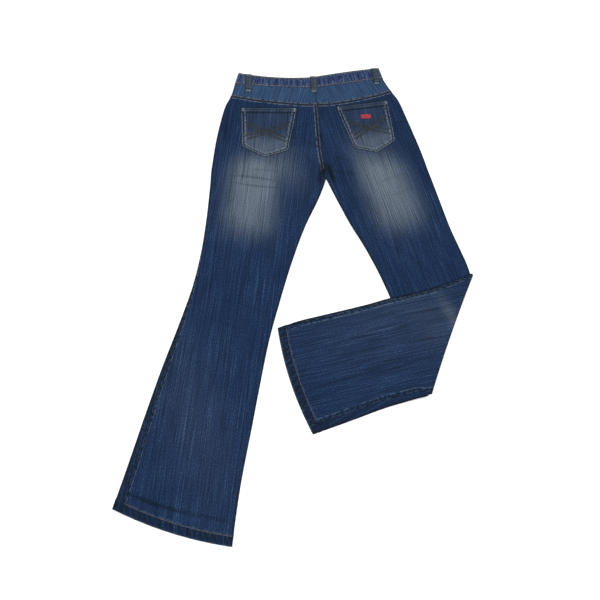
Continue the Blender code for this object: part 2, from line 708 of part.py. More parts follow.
def wall_object(name, rows, walls, finish):
    """Closed wall of cloth on a grid of middle points, with one thickness for each row."""
    count, width = len(rows), len(rows[0])
    normals = row_normals(rows)
    shift = Vector((CROTCH_AT[0], CROTCH_AT[1], 0))
    points = []
    for side in (1, -1):
        for i in range(count):
            for j in range(width):
                point = rows[i][j] + normals[i][j] * side * walls[i] / 2
                point.z = max(point.z, 0.0)
                points.append((point + shift) * MM)

    def at(side, i, j):
        return side * count * width + i * width + j

    faces = []
    for i in range(count - 1):
        for j in range(width - 1):
            faces.append((at(0, i, j), at(0, i + 1, j), at(0, i + 1, j + 1), at(0, i, j + 1)))
            faces.append((at(1, i, j), at(1, i, j + 1), at(1, i + 1, j + 1), at(1, i + 1, j)))
    for i in range(count - 1):
        faces.append((at(0, i, 0), at(1, i, 0), at(1, i + 1, 0), at(0, i + 1, 0)))
        last = width - 1
        faces.append((at(0, i + 1, last), at(1, i + 1, last), at(1, i, last), at(0, i, last)))
    for j in range(width - 1):
        faces.append((at(0, 0, j), at(0, 0, j + 1), at(1, 0, j + 1), at(1, 0, j)))
        last = count - 1
        faces.append((at(0, last, j + 1), at(0, last, j), at(1, last, j), at(1, last, j + 1)))

    mesh = bpy.data.meshes.new(name)
    mesh.from_pydata(points, [], faces)
    bm = bmesh.new()
    bm.from_mesh(mesh)
    bmesh.ops.triangulate(bm, faces=bm.faces[:])
    if bm.calc_volume(signed=True) < 0:
        bmesh.ops.reverse_faces(bm, faces=bm.faces[:])
    bm.to_mesh(mesh)
    bm.free()
    return add_object(name, mesh, finish)


def main():
    """Build every piece of the jeans."""
    for old in list(bpy.data.objects):
        bpy.data.objects.remove(old, do_unlink=True)

    leg_panel("front_left", LEFT_LEG, (), True, BAND_SEAM)
    folded_panel("front_right", True, BAND_SEAM)
    back_left = leg_panel("back_left", LEFT_LEG, LEFT_CREASES, False, YOKE_SEAM)
    back_right = folded_panel("back_right", False, YOKE_SEAM)
    yokes = [yoke("yoke_left", LEFT_LEG, LEFT_CREASES), yoke("yoke_right", RIGHT_THIGH, RIGHT_CREASES)]
    band = waistband()

    backs = surface_of([back_left, back_right])
    pockets = [pocket(shape, backs) for shape in POCKETS]
    pocket_tab(surface_of(pockets))
    carriers = surface_of([band, *yokes, back_left, back_right])
    for loop in BACK_LOOPS:
        belt_loop(loop, carriers)
    for loop in FRONT_LOOPS:
        floor_loop(loop)

    facing("facing_left", LEFT_LEG)
    facing("facing_right", RIGHT_THIGH)
    fly_strip("zip_tape", ZIP_RUN, ZIP_SPAN, ZIP_WALL, COTTON_TAPE)
    fly_strip("zip_slider", SLIDER_RUN, SLIDER_SPAN, SLIDER_WALL, BRASS)
    fly_strip("fly_shield", SHIELD_RUN, SHIELD_SPAN, WALL, DENIM)
    button()


main()
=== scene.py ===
"""Looks of a pair of bootcut jeans laid flat, back side up, with the right leg folded at the knee.

Every cloth piece is a thin closed shell on the form of the solid that it replaces. The two legs
are flat tubes, given by a table of sections, and the panels are read off those tubes on a fine
grid, with creases, seam ridges and puckers added. Sewing is real thread, joined by seam. Sizes
are in millimetres from the crotch, with +X to the wearer's right and +Y to the waist.
"""

import logging
import math
from dataclasses import dataclass, field
from enum import Enum
from typing import Any, Dict, List, Optional, Sequence, Tuple

import bmesh
import bpy
import numpy as np
from mathutils import Matrix, Vector
from mathutils.bvhtree import BVHTree


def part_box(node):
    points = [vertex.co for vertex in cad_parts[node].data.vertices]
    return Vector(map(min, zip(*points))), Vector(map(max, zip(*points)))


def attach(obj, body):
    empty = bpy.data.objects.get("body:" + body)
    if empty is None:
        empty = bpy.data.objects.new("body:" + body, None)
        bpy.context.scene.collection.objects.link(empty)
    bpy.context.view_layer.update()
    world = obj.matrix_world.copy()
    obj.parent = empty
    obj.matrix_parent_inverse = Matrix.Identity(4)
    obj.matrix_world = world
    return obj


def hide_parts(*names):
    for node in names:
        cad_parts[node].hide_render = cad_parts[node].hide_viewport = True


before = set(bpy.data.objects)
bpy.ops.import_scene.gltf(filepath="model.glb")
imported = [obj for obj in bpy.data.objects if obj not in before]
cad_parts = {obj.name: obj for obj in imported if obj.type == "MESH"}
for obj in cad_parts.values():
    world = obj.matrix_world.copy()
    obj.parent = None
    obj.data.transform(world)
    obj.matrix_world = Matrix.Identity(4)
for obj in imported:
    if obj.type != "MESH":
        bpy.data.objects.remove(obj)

Array = np.ndarray
Socket = bpy.types.NodeSocket
LOG = logging.getLogger("jeans")

MM = 0.001
CROTCH_AT = np.array((63.28, 245.43, 0.0))

WALL = 1.2
BAND_WALL = 2.4
HEM_WALL = 2.2
HEM_WIDTH = 20.0
TAPE_WALL = 0.8
GAP = 0.3
HALF_GAP = 0.17
REST = WALL / 2
UNDERSIDE_LIFT = 0.35
LEAST_LOFT = 1.6

SEAM_GAP = 0.3
FIRST_COLUMN = 0.5
COLUMN_STEP = 0.9
RIDGE_REACH = 16.0
FRONT_DIP = 14.0
CLOTH_PITCH = 3.0
EDGE_PITCH = 1.7
EDGE_RUN = 16.0

# The centre back seam's topstitching ends at this height over the crotch.
SEAT_SEAM_END = 22.0

# A wave texture of scale 1 repeats at this distance.
WAVE_PERIOD = 0.314159

FOLD_RADIUS = 4.8
FOLD_HEIGHT = REST + FOLD_RADIUS
FOLD_STEPS = 14
FOLD_SETTLE = 60.0
SHIN_ON_THIGH = 5.7
DROP_START = 3.0
DROP_RUN = 48.0
THIGH_EDGE = np.array(((121.0, -300.0), (199.0, -529.0)))

# How a tube's edge is stepped round: share of a quarter turn, and millimetres past it.
EDGE_BENDS = (
    (-1, -12), (-1, -9), (-1, -6), (-1, -3), (-1, 0), (-0.75, 0), (-0.5, 0), (-0.25, 0), (0, 0),
    (0.25, 0), (0.5, 0), (0.75, 0), (1, 0), (1, 2), (1, 4.5), (1, 8),
)


@dataclass(frozen=True)
class Section:
    """One section across a leg's flat tube, seen from above.

    Bow is how far its middle lies up the leg, base the lower layer's height off the floor, loft
    and ridge the upper layer's height over the lower one at the middle and along the edges. Curl
    is 1 where the inner edge is closed and 0 at the centre seam. The seams are distances round
    the edge, negative on the front, and scoop is the depth of the front pocket's cut.
    """

    name: str
    outer_x: float
    outer_y: float
    inner_x: float
    inner_y: float
    bow: float
    base: float
    loft: float
    ridge: float
    curl: float
    outer_seam: float
    inner_seam: float
    scoop: float


LEFT_SECTIONS = (
    Section("band top", -205, 297, -20, 291, -7, 1.5, 5.4, 5.4, 0, -6.5, 0, 95),
    Section("band seam", -214, 265, -17, 260, -4, 1.5, 6.0, 6.0, 0, -6.5, 0, 95),
    Section("yoke seam", -223, 230, -13, 211, -5, 1.5, 5.6, 5.8, 0, -6.5, 0, 80),
    Section("pocket top", -238, 196, -11, 180, -3, 0.0, 5.3, 5.4, 0, -6.3, 0, 50),
    Section("high hip", -252, 136, -10, 130, 0, 0.0, 4.4, 5.0, 0, -6.0, 0, 8),
    Section("hip", -261, 84, -8, 75, 0, 0.0, 4.0, 4.6, 0, -5.6, 0, 0),
    Section("seat", -266, 44, -3, 30, 0, 0.0, 3.2, 4.3, 0, -5.2, 0, 0),
    Section("crotch", -270, 8, 0, 0, 0, 0.0, 2.6, 4.1, 0, -5.0, 0, 0),
    Section("below the crotch", -271, -14, -7, -20, 0, 0.0, 2.4, 4.1, 1, -5.0, 0, 0),
    Section("upper thigh", -273, -42, -22, -57, 0, 0.0, 2.2, 4.1, 1, -5.0, -5, 0),
    Section("thigh", -279, -112, -57, -132, 0, 0.0, 2.0, 4.1, 1, -5.0, -5, 0),
    Section("low thigh", -290, -198, -90, -222, 0, 0.0, 2.0, 4.1, 1, -2.0, -5, 0),
    Section("above knee", -307, -280, -119, -316, 0, 0.0, 2.0, 4.1, 1, 1.0, -5, 0),
    Section("knee", -335, -371, -144, -405, 0, 0.0, 2.0, 4.1, 1, 6.0, -5, 0),
    Section("upper shin", -365, -460, -164, -498, 0, 0.0, 2.0, 4.1, 1, 10.0, -5, 0),
    Section("shin", -394, -555, -183, -592, 0, 0.0, 2.0, 4.1, 1, 13.0, -5, 0),
    Section("low shin", -424, -658, -206, -705, 0, 0.0, 2.2, 4.2, 1, 16.0, -5, 0),
    Section("hem", -449, -742, -223, -817, -9, 0.0, 2.8, 4.6, 1, 17.0, -5, 0),
)
THIGH_SECTIONS = (
    Section("band top", 151, 326, -20, 291, 2, 1.5, 5.4, 5.4, 0, -6.5, 0, 95),
    Section("band seam", 159, 295, -17, 260, -1, 1.5, 6.0, 6.0, 0, -6.5, 0, 95),
    Section("yoke seam", 176, 259, -13, 211, -7, 1.5, 5.6, 5.8, 0, -6.5, 0, 80),
    Section("pocket top", 194, 229, -11, 180, -4, 0.0, 5.3, 5.4, 0, -6.3, 0, 50),
    Section("high hip", 211, 174, -10, 130, 0, 0.0, 4.4, 5.0, 0, -6.0, 0, 8),
    Section("hip", 223, 132, -8, 75, 0, 0.0, 4.0, 4.6, 0, -5.6, 0, 0),
    Section("seat", 235, 88, -3, 30, 0, 0.0, 3.2, 4.3, 0, -5.2, 0, 0),
    Section("crotch", 244, 50, 0, 0, 0, 0.0, 2.6, 4.1, 0, -5.0, 0, 0),
    Section("below the crotch", 249, 26, 8, -20, 0, 0.0, 2.4, 4.1, 1, -5.0, 0, 0),
    Section("upper thigh", 256, -3, 23, -57, 0, 0.0, 2.2, 4.1, 1, -5.0, -5, 0),
    Section("thigh", 270, -64, 50, -120, 0, 0.0, 2.0, 4.1, 1, -5.0, -5, 0),
    Section("low thigh", 286, -132, 81, -182, 0, 0.0, 2.0, 4.0, 1, -5.0, -5, 0),
    Section("above knee", 304, -190, 112, -256, 0, 0.0, 2.0, 3.3, 1, -5.0, -5, 0),
    Section("turning", 314, -223, 152, -378, 3, 0.0, 2.2, 2.6, 1, -5.0, -5, 0),
    Section("fold line", 319, -249, 193, -524, 3, 0.0, 2.4, 2.4, 1, -5.0, -5, 0),
)
SHIN_SECTIONS = (
    Section("fold line", 319, -249, 193, -524, -3, 0.0, 2.4, 2.4, 1, -5.0, -5, 0),
    Section("turning", 225, -284, 187, -530, -3, 0.0, 2.2, 3.0, 1, -5.0, -9, 0),
    Section("knee", 125, -309, 165, -535, 0, 0.0, 2.2, 3.8, 1, -5.0, -15, 0),
    Section("upper shin", 40, -331, 97, -553, 0, 0.0, 2.0, 4.1, 1, -5.0, -17, 0),
    Section("shin", -25, -347, 33, -575, -2, 0.0, 2.0, 4.1, 1, -5.0, -18, 0),
    Section("low shin", -80, -361, -17, -592, -6, 0.0, 2.2, 4.2, 1, -5.0, -18, 0),
    Section("hem", -124, -377, -58, -605, -10, 0.0, 2.8, 4.6, 1, -5.0, -18, 0),
)
BAND_TOP, BAND_SEAM, YOKE_SEAM = range(3)
CROTCH = 7


def turned_axes(plan: Array, angle: float, x: float = 0.0, y: float = 0.0) -> Tuple[Array, Array]:
    """Coordinates of plan points along and across a direction, from a given place."""
    turn = math.radians(angle)
    dx, dy = plan[..., 0] - x, plan[..., 1] - y
    return dx * math.cos(turn) + dy * math.sin(turn), dy * math.cos(turn) - dx * math.sin(turn)


def warp_grain(plan: Array, angle: float, shift: float) -> Array:
    """Place of plan points in the cloth that a panel was cut from, across and up its warp.

    Args:
        plan: Plan points of the panel as it was cut.
        angle: The warp's angle from straight down, towards +X.
        shift: Place of the panel in that cloth.

    Returns:
        The places, in millimetres.
    """
    turn = math.radians(angle)
    down = np.array((math.sin(turn), -math.cos(turn)))
    side = np.array((math.cos(turn), math.sin(turn)))
    return np.stack([plan @ side + shift, -(plan @ down)], axis=-1)


@dataclass(frozen=True)
class Crease:
    """Soft ridge, or trough where the height is negative, lying in the cloth; its shade is painted shade
    along the trough's bottom.
    """

    name: str
    x: float
    y: float
    angle: float
    half_length: float
    half_width: float
    height: float
    bend: float = 0.0
    shade: float = 0.0

    def local(self, plan: Array) -> Tuple[Array, Array]:
        """Coordinates along and across the crease, as shares of its half sizes.

        Args:
            plan: Plan points, last axis x and y.

        Returns:
            Share along and share across at each point.
        """
        along, across = turned_axes(plan, self.angle, self.x, self.y)
        along = along / self.half_length
        return along, (across + self.bend * along ** 2) / self.half_width

    def rise(self, plan: Array) -> Array:
        """Height that the crease adds at plan points: a ridge, or a trough between two lips."""
        along, across = self.local(plan)
        shape = np.exp(-across ** 2)
        if self.height < 0:
            shape = shape - 0.45 * np.exp(-((np.abs(across) - 2.1) / 1.1) ** 2)
        return self.height * shape * np.exp(-along ** 2)

    def darkness(self, plan: Array) -> Array:
        """Painted shade along the crease's bottom, from 0 to 1, at plan points."""
        along, across = self.local(plan)
        return self.shade * np.exp(-(across / 0.8) ** 2 - along ** 4)


# Creases of each stretch; a trough's last number is the painted shade along its bottom.
LEFT_CREASES = (
    Crease("under the pocket", -150, 40, 4, 60, 20, 1.4),
    Crease("across the thigh", -165, -4, -4, 55, 12, 1.6),
    Crease("lower across the thigh", -150, -62, -12, 60, 16, 1.1),
    Crease("down the thigh", -205, -190, -76, 90, 24, 1.3),
    Crease("inside the knee", -185, -330, -60, 80, 22, 1.5),
    Crease("behind the knee", -240, -400, -25, 70, 18, 1.3),
    Crease("down the shin", -275, -560, -72, 110, 26, 1.6),
    Crease("above the hem", -320, -700, -18, 70, 16, 1.2),
    Crease("high thin thigh line", -171, -1, -6.8, 52, 2.6, -1.2, 3, 0.55),
    Crease("low thin thigh line", -165, -24, -6.3, 50, 2.4, -1.0, -2, 0.5),
    Crease("third thigh line", -148, 20, -3, 34, 2.6, -0.7, 2, 0.3),
    Crease("seat line high", -104, 113, -1, 50, 3.4, -0.9, 3, 0.3),
    Crease("seat line low", -102, 90, 1, 48, 3.4, -0.9, -2, 0.3),
    Crease("seat line by the seam", -36, 150, 14, 24, 3.4, -0.8, 2, 0.25),
    Crease("seat fold by the seam", -30, 96, -22, 26, 4.0, -0.9, 2, 0.35),
    Crease("crotch fold left", -12, 24, 74, 24, 4.5, -1.6, 0, 0.9),
    Crease("crotch spur left", -34, 44, 128, 24, 4.0, -1.1, 3, 0.4),
    Crease("below the crotch left", -42, -42, 52, 34, 5.0, -0.8, 3, 0.3),
    Crease("inner thigh", -86, -120, 60, 46, 6.0, -0.7, 4, 0.2),
    Crease("crotch shadow left", -7, 10, 66, 26, 8.0, -0.5, 0, 1.0),
    Crease("outer hip", -238, 120, 66, 34, 5.0, -0.8, 3, 0.2),
    Crease("outer thigh", -258, -80, 84, 60, 6.0, -0.6, 3, 0.15),
    Crease("knee line high", -216, -316, -14, 58, 4.4, -0.7, 4, 0.2),
    Crease("knee line low", -238, -366, -20, 52, 4.0, -0.8, -4, 0.2),
    Crease("knee line inner", -168, -380, 18, 30, 4.0, -0.6, 3, 0.15),
    Crease("shin line", -262, -486, -70, 72, 5.0, -0.7, 5, 0.15),
    Crease("low shin line", -330, -610, -66, 66, 6.0, -0.6, -5, 0.1),
    Crease("hem trough left", -372, -734, -20, 56, 4.6, -1.6, -4, 0.95),
    Crease("hem trough right", -276, -760, -12, 54, 5.0, -1.1, 2, 0.55),
)
THIGH_CREASES = (
    Crease("under the pocket", 118, 38, 12, 58, 20, 1.4),
    Crease("beside the crotch", 45, 30, -18, 34, 12, 1.2),
    Crease("down the thigh", 150, -60, -68, 85, 26, 1.4),
    Crease("outside the thigh", 225, -120, -70, 60, 18, 1.0),
    Crease("hip line", 196, 165, 11, 22, 3.0, -0.9, 1, 0.45),
    Crease("crotch line high", 40, 56, -7, 24, 3.2, -0.9, 2, 0.4),
    Crease("crotch line low", 42, 16, -8, 32, 3.2, -0.9, -2, 0.45),
    Crease("crotch fold right", 12, 22, 108, 24, 4.5, -1.6, 0, 0.9),
    Crease("crotch spur right", 22, 44, 66, 20, 4.0, -1.0, 2, 0.5),
    Crease("crotch shadow right", 10, 12, 112, 28, 7.0, -0.5, 0, 1.0),
    Crease("below the crotch right", 48, -46, -58, 32, 5.0, -0.8, 3, 0.3),
    Crease("thigh line high", 160, 6, 22, 42, 3.2, -0.7, 3, 0.2),
    Crease("thigh line low", 178, -34, 18, 46, 3.4, -0.6, -3, 0.15),
    Crease("outer hip", 216, 100, -74, 36, 5.0, -0.7, 3, 0.2),
    Crease("inner thigh", 92, -140, -66, 50, 6.0, -0.7, 4, 0.2),
    Crease("above the fold", 190, -210, -40, 60, 6.0, -0.6, 5, 0.2),
)
SHIN_CREASES = (
    Crease("from the fold", 190, -400, 14, 60, 22, 1.5),
    Crease("along the shin", 60, -480, 17, 90, 18, 1.7),
    Crease("upper shin", 40, -400, 12, 80, 22, 1.4),
    Crease("above the hem", -60, -470, 70, 60, 14, 1.3),
    Crease("long line from the fold", 160, -456, 16.5, 74, 2.6, -1.0, 4, 0.75),
    Crease("long line to the hem", 16, -492, 16.4, 92, 2.6, -1.0, -4, 0.7),
    Crease("high line", 120, -372, 13, 70, 2.8, -0.8, 3, 0.5),
    Crease("middle line", 60, -430, 15, 64, 2.6, -0.7, -3, 0.45),
    Crease("low line", 90, -520, 18, 56, 2.8, -0.8, 4, 0.45),
    Crease("hem line", -76, -484, 68, 58, 4.0, -0.8, 3, 0.3),
    Crease("short line by the fold", 236, -352, 20, 34, 3.4, -0.7, 2, 0.2),
)


@dataclass(frozen=True)
class Fade:
    """Worn patch of the cloth, seen from above, with soft ends."""

    name: str
    x: float
    y: float
    angle: float
    half_length: float
    half_width: float
    strength: float
    hardness: float = 3.0

    def amount(self, plan: Array) -> Array:
        """Wear from 0 to 1 at plan points."""
        along, across = turned_axes(plan, self.angle, self.x, self.y)
        along, across = along / self.half_length, across / self.half_width
        reach = np.abs(along) ** self.hardness + np.abs(across) ** self.hardness
        return self.strength * np.exp(-reach)


LEFT_FADES = (
    Fade("thigh patch", -178, -62, -95, 86, 60, 0.71, 3.4),
    Fade("middle of the patch", -178, -50, -95, 76, 42, 0.24, 2.0),
    Fade("top of the patch", -170, 16, -84, 50, 46, 0.42, 2.4),
    Fade("below the pocket", -152, 26, -4, 52, 26, 0.3, 2.0),
    Fade("beside the pocket", -88, 20, -60, 60, 34, 0.26, 2.0),
    Fade("seat", -100, 70, 0, 60, 30, 0.12, 2.0),
    Fade("shin", -300, -560, -73, 190, 70, 0.08, 2.0),
)
THIGH_FADES = (
    Fade("thigh patch", 154, -44, -75, 86, 60, 0.71, 3.4),
    Fade("middle of the patch", 152, -44, -75, 78, 38, 0.24, 2.0),
    Fade("top of the patch", 132, 34, -76, 52, 48, 0.42, 2.4),
    Fade("beside the patch", 96, 40, -62, 70, 26, 0.3, 2.0),
)
SHIN_FADES = (
    Fade("shin", 130, -330, 15, 200, 130, 0.08, 2.0),
    Fade("knee by the fold", 264, -356, -64, 56, 14, 0.36, 2.0),
    Fade("knee", 218, -380, -60, 70, 40, 0.08, 2.0),
)


def lerp(a: Any, b: Any, t: Any) -> Any:
    """Value a share t of the way from a to b."""
    return a + (b - a) * t


def ease(t: Any) -> Any:
    """Smooth step from 0 to 1 as t goes from 0 to 1."""
    t = np.clip(t, 0.0, 1.0)
    return t * t * (3 - 2 * t)


def unit(vectors: Array) -> Array:
    """Vectors along the last axis brought to length 1."""
    return vectors / np.maximum(np.linalg.norm(vectors, axis=-1, keepdims=True), 1e-9)


def running(points: Array, axis: int) -> Array:
    """Distance run along one axis of a grid of points, or a path, from its start."""
    steps = np.linalg.norm(np.diff(points, axis=axis), axis=-1)
    total = np.cumsum(steps, axis=axis)
    pad = [(0, 0)] * steps.ndim
    pad[axis] = (1, 0)
    return np.pad(total, pad)


def sample(at: Any, run: Array, values: Array) -> Array:
    """Rows of values read at given distances along a line."""
    return np.stack([np.interp(at, run, column) for column in values.T], axis=-1)


def raised(plan: Array, height: Any) -> Array:
    """Plan points with their height, or heights, as a third coordinate."""
    return np.concatenate([plan, np.broadcast_to(height, plan.shape[:-1])[..., None]], axis=-1)


def hermite(points: Array, places: Array) -> Array:
    """Points of a smooth curve through given ones.

    Args:
        points: Points that the curve passes through.
        places: Places along it, counted in spans.

    Returns:
        One curve point for each place.
    """
    last = len(points) - 1
    run = running(points, 0)
    after = np.minimum(np.arange(last + 1) + 1, last)
    before = np.maximum(np.arange(last + 1) - 1, 0)
    slopes = (points[after] - points[before]) / (run[after] - run[before])[:, None]
    span = np.clip(np.floor(places).astype(int), 0, last - 1)
    t = (places - span)[:, None]
    reach = (run[span + 1] - run[span])[:, None]
    return (points[span] * (2 * t ** 3 - 3 * t ** 2 + 1)
            + slopes[span] * reach * (t ** 3 - 2 * t ** 2 + t)
            + points[span + 1] * (3 * t ** 2 - 2 * t ** 3)
            + slopes[span + 1] * reach * (t ** 3 - t ** 2))


def even_places(length: float) -> Array:
    """Distances along a length, close at both ends and wider between."""
    ends = np.arange(0, EDGE_RUN, EDGE_PITCH)
    count = max(int((length - 2 * EDGE_RUN) / CLOTH_PITCH), 2)
    middle = np.linspace(EDGE_RUN, length - EDGE_RUN, count)
    return np.concatenate([ends, middle, length - ends[::-1]])


class Layer(Enum):
    """Which panel of a leg's tube."""

    FRONT = 0.0
    BACK = 1.0


class Edge(Enum):
    """Border of a panel's grid: its side, its inner side, its waist end or its hem end."""

    OUTER = "outer"
    INNER = "inner"
    TOP = "top"
    BOTTOM = "bottom"


@dataclass
class Rows:
    """Rows across a leg's tube, before they are given a height."""

    plan: Array
    share: Array
    loft: Array
    base: Array


@dataclass(frozen=True)
class Leg:
    """One stretch of a leg's flat tube."""

    sections: Tuple[Section, ...]
    creases: Tuple[Crease, ...]
    corner: int = CROTCH
    hand: int = 1

    def stations(self, places: Array) -> Dict[str, Array]:
        """Sections at places counted in rows of the table.

        Args:
            places: Places down the leg.

        Returns:
            Outer and inner ends and every other column of the table, at each place.
        """
        outer = np.array([(s.outer_x, s.outer_y) for s in self.sections], float)
        inner = np.array([(s.inner_x, s.inner_y) for s in self.sections], float)
        found = {"outer": hermite(outer, places)}
        below = hermite(inner[self.corner:], places - self.corner)
        if self.corner:
            above = hermite(inner[:self.corner + 1], places)
            below = np.where(places[:, None] < self.corner, above, below)
        found["inner"] = below
        index = np.arange(len(self.sections))
        for column in ("bow", "base", "loft", "ridge", "curl", "outer_seam", "inner_seam", "scoop"):
            found[column] = np.interp(places, index, [getattr(s, column) for s in self.sections])
        return found

    def places(self, first: float, last: float, tight_start: bool = True) -> Array:
        """Evenly spaced places down the leg, closer at both ends.

        Args:
            first: Place of the first row.
            last: Place of the last row.
            tight_start: Whether the first rows lie close, as at a seam.

        Returns:
            The places, counted in sections.
        """
        fine = np.linspace(first, last, 400)
        found = self.stations(fine)
        run = running((found["outer"] + found["inner"]) / 2, 0)
        wanted = even_places(run[-1])
        if not tight_start:
            wanted = np.concatenate([[0.0], wanted[wanted >= EDGE_RUN / 2]])
        return np.interp(wanted, run, fine)

    def rows(self, places: Array, layer: Layer, dip: Optional[Array] = None,
             columns: int = 0) -> Rows:
        """Points across one panel at many sections.

        Args:
            places: Places down the leg.
            layer: Which panel.
            dip: How far each row's centre end drops, at the front of the waist.
            columns: Count of columns between the two edges.

        Returns:
            The rows, with each point's share of the tube's height.
        """
        at = self.stations(places)
        width = np.linalg.norm(at["inner"] - at["outer"], axis=1)
        across = (at["inner"] - at["outer"]) / width[:, None]
        bow = np.stack([-across[:, 1], across[:, 0]], axis=1) * at["bow"][:, None] * self.hand
        radius = at["ridge"] / 2
        seam = at["outer_seam"]
        if layer is Layer.FRONT:
            seam = np.where(at["scoop"] > 0, np.minimum(seam, -at["scoop"]), seam)
        near, share = round_edge(edge_marks(seam, radius, layer), radius)
        flat = np.abs(edge_marks(np.zeros_like(radius), radius, layer)) - SEAM_GAP + HALF_GAP
        far, far_share = round_edge(edge_marks(at["inner_seam"], radius, layer), radius)
        curl = at["curl"][:, None]
        far = lerp(flat, far, curl)
        far_share = lerp(layer.value, far_share, curl)
        middle = np.linspace(0, 1, columns + 2)[1:-1]
        far = width[:, None] - far
        between = lerp(near[:, -1:], far[:, -1:], middle)
        distance = np.concatenate([near, between, far[:, ::-1]], axis=1)
        level = np.full((len(places), columns), layer.value)
        share = np.concatenate([share, level, far_share[:, ::-1]], axis=1)
        u = distance / width[:, None]
        plan = (at["outer"][:, None] + across[:, None] * distance[..., None]
                + bow[:, None] * (4 * u * (1 - u))[..., None])
        if dip is not None:
            plan[..., 1] -= dip[:, None] * ease(u)
        outer_bell = np.exp(-(np.maximum(distance - radius[:, None], 0) / RIDGE_REACH) ** 2)
        inner_reach = np.maximum(width[:, None] - distance - radius[:, None], 0)
        inner_bell = np.exp(-(inner_reach / RIDGE_REACH) ** 2) * curl
        loft = at["loft"][:, None]
        loft = loft + (at["ridge"][:, None] - loft) * np.maximum(outer_bell, inner_bell)
        rise = sum(c.rise(plan) for c in self.creases) + relief(plan)
        loft = loft + rise * (1 - outer_bell) * (1 - inner_bell)
        return Rows(plan, share, np.maximum(loft, LEAST_LOFT), at["base"])

    def span(self, place: float, u: Array, front: bool) -> Array:
        """Plan points straight across the leg at one place.

        Args:
            place: Place down the leg.
            u: Shares of the way from the side to the centre.
            front: Whether the waist dips, as on the front.

        Returns:
            The points.
        """
        at = self.stations(np.array([place]))
        outer, inner, bow = at["outer"][0], at["inner"][0], at["bow"][0]
        across = unit(inner - outer)
        u = np.atleast_1d(u)[:, None]
        plan = outer + (inner - outer) * u
        plan = plan + np.array((-across[1], across[0])) * bow * self.hand * 4 * u * (1 - u)
        if front:
            drop = FRONT_DIP * (1 - ease(place - BAND_SEAM))
            plan[:, 1] -= drop * ease(u[:, 0])
        return plan


def edge_marks(seam: Array, radius: Array, layer: Layer) -> Array:
    """Places round a tube's edge, from the seam inwards, for one panel of each row.

    Args:
        seam: The seam's place round the edge, for each row.
        radius: Half the tube's height, for each row.
        layer: Which panel.

    Returns:
        A row of places for each row.
    """
    quarter = radius * math.pi / 2
    bends = np.array(EDGE_BENDS)
    bend = quarter[:, None] * bends[:, 0] + bends[:, 1]
    clear = SEAM_GAP + FIRST_COLUMN + np.arange(len(bends)) * COLUMN_STEP
    seam = seam[:, None]
    if layer is Layer.FRONT:
        return np.concatenate([seam - SEAM_GAP, np.minimum(-bend, seam - clear)], axis=1)
    return np.concatenate([seam + SEAM_GAP, np.maximum(bend, seam + clear)], axis=1)


def round_edge(marks: Array, radius: Array) -> Tuple[Array, Array]:
    """Distance in from the outline, and share of the tube's height, round its edge.

    Args:
        marks: Places round the edge.
        radius: Half the tube's height, for each row.

    Returns:
        The distances and the shares.
    """
    radius = radius[:, None]
    quarter = radius * math.pi / 2
    angle = np.clip(marks / radius, -math.pi / 2, math.pi / 2)
    beyond = np.maximum(np.abs(marks) - quarter, 0)
    inwards = np.where(beyond > 0, radius + beyond, radius * (1 - np.cos(angle)))
    return inwards, (1 + np.sin(angle)) / 2


# Gentle unevenness of washed cloth: wavelength in millimetres, direction in degrees, height.
RELIEF_WAVES = (
    (97, 12, 0.16), (71, -38, 0.14), (53, 68, 0.12), (37, -8, 0.09), (29, 47, 0.07), (23, -62, 0.05),
)


def relief(plan: Array) -> Array:
    """Slight unevenness of the laid cloth at plan points."""
    total = np.zeros(plan.shape[:-1])
    for k, (length, angle, height) in enumerate(RELIEF_WAVES):
        along, side = turned_axes(plan, angle)
        phase = 2 * math.pi * along / length + 1.7 * k
        total += height * np.sin(phase + 1.3 * np.sin(side / (length * 0.4)))
    return total


LEFT_LEG = Leg(LEFT_SECTIONS, LEFT_CREASES)
RIGHT_THIGH = Leg(THIGH_SECTIONS, THIGH_CREASES, hand=-1)
RIGHT_SHIN = Leg(SHIN_SECTIONS, SHIN_CREASES, corner=0)


def fold_line() -> Tuple[Array, Array]:
    """Plan point on the knee fold, and the plan direction across it, away from the thigh."""
    first = SHIN_SECTIONS[0]
    start = np.array((first.outer_x, first.outer_y), float)
    run = unit(np.array((first.inner_x, first.inner_y), float) - start)
    return start, np.array((-run[1], run[0]))


@dataclass(frozen=True)
class Seam:
    """Sewn border of a panel: how wide its layers lie, how high, and how much they pucker.

    Stitches holds the distance of each row of thread from the border.
    """

    edge: Edge
    width: float
    height: float = 0.4
    pucker: float = 0.25
    period: float = 11.0
    wear: float = 0.6
    stitches: Tuple[float, ...] = ()


def beats(run: Array, period: float) -> Array:
    """Count of uneven humps up to a distance along a seam, like the rope of a washed hem.

    Args:
        run: Distances along the seam.
        period: Mean distance between two humps.

    Returns:
        The count at each distance.
    """
    return run / period + 0.3 * np.sin(run / (2.7 * period)) + 0.13 * np.sin(run / (0.7 * period) + 1)


def wobble(run: Array, period: float) -> Array:
    """Height of those humps, from 0 to 1."""
    return 0.5 + 0.5 * np.sin(2 * math.pi * beats(run, period))


# What a cloth's finish reads at each point: wear, darkening (painted shade in crease bottoms, on
# rolled edges, along outlines and under hems, and darker cloth along some borders), and beside a
# seam the count of its humps, the place across its layers from 0 to 1, and its wear.
MASKS = ("fade", "shade", "seam_beat", "seam_at", "seam_wear")


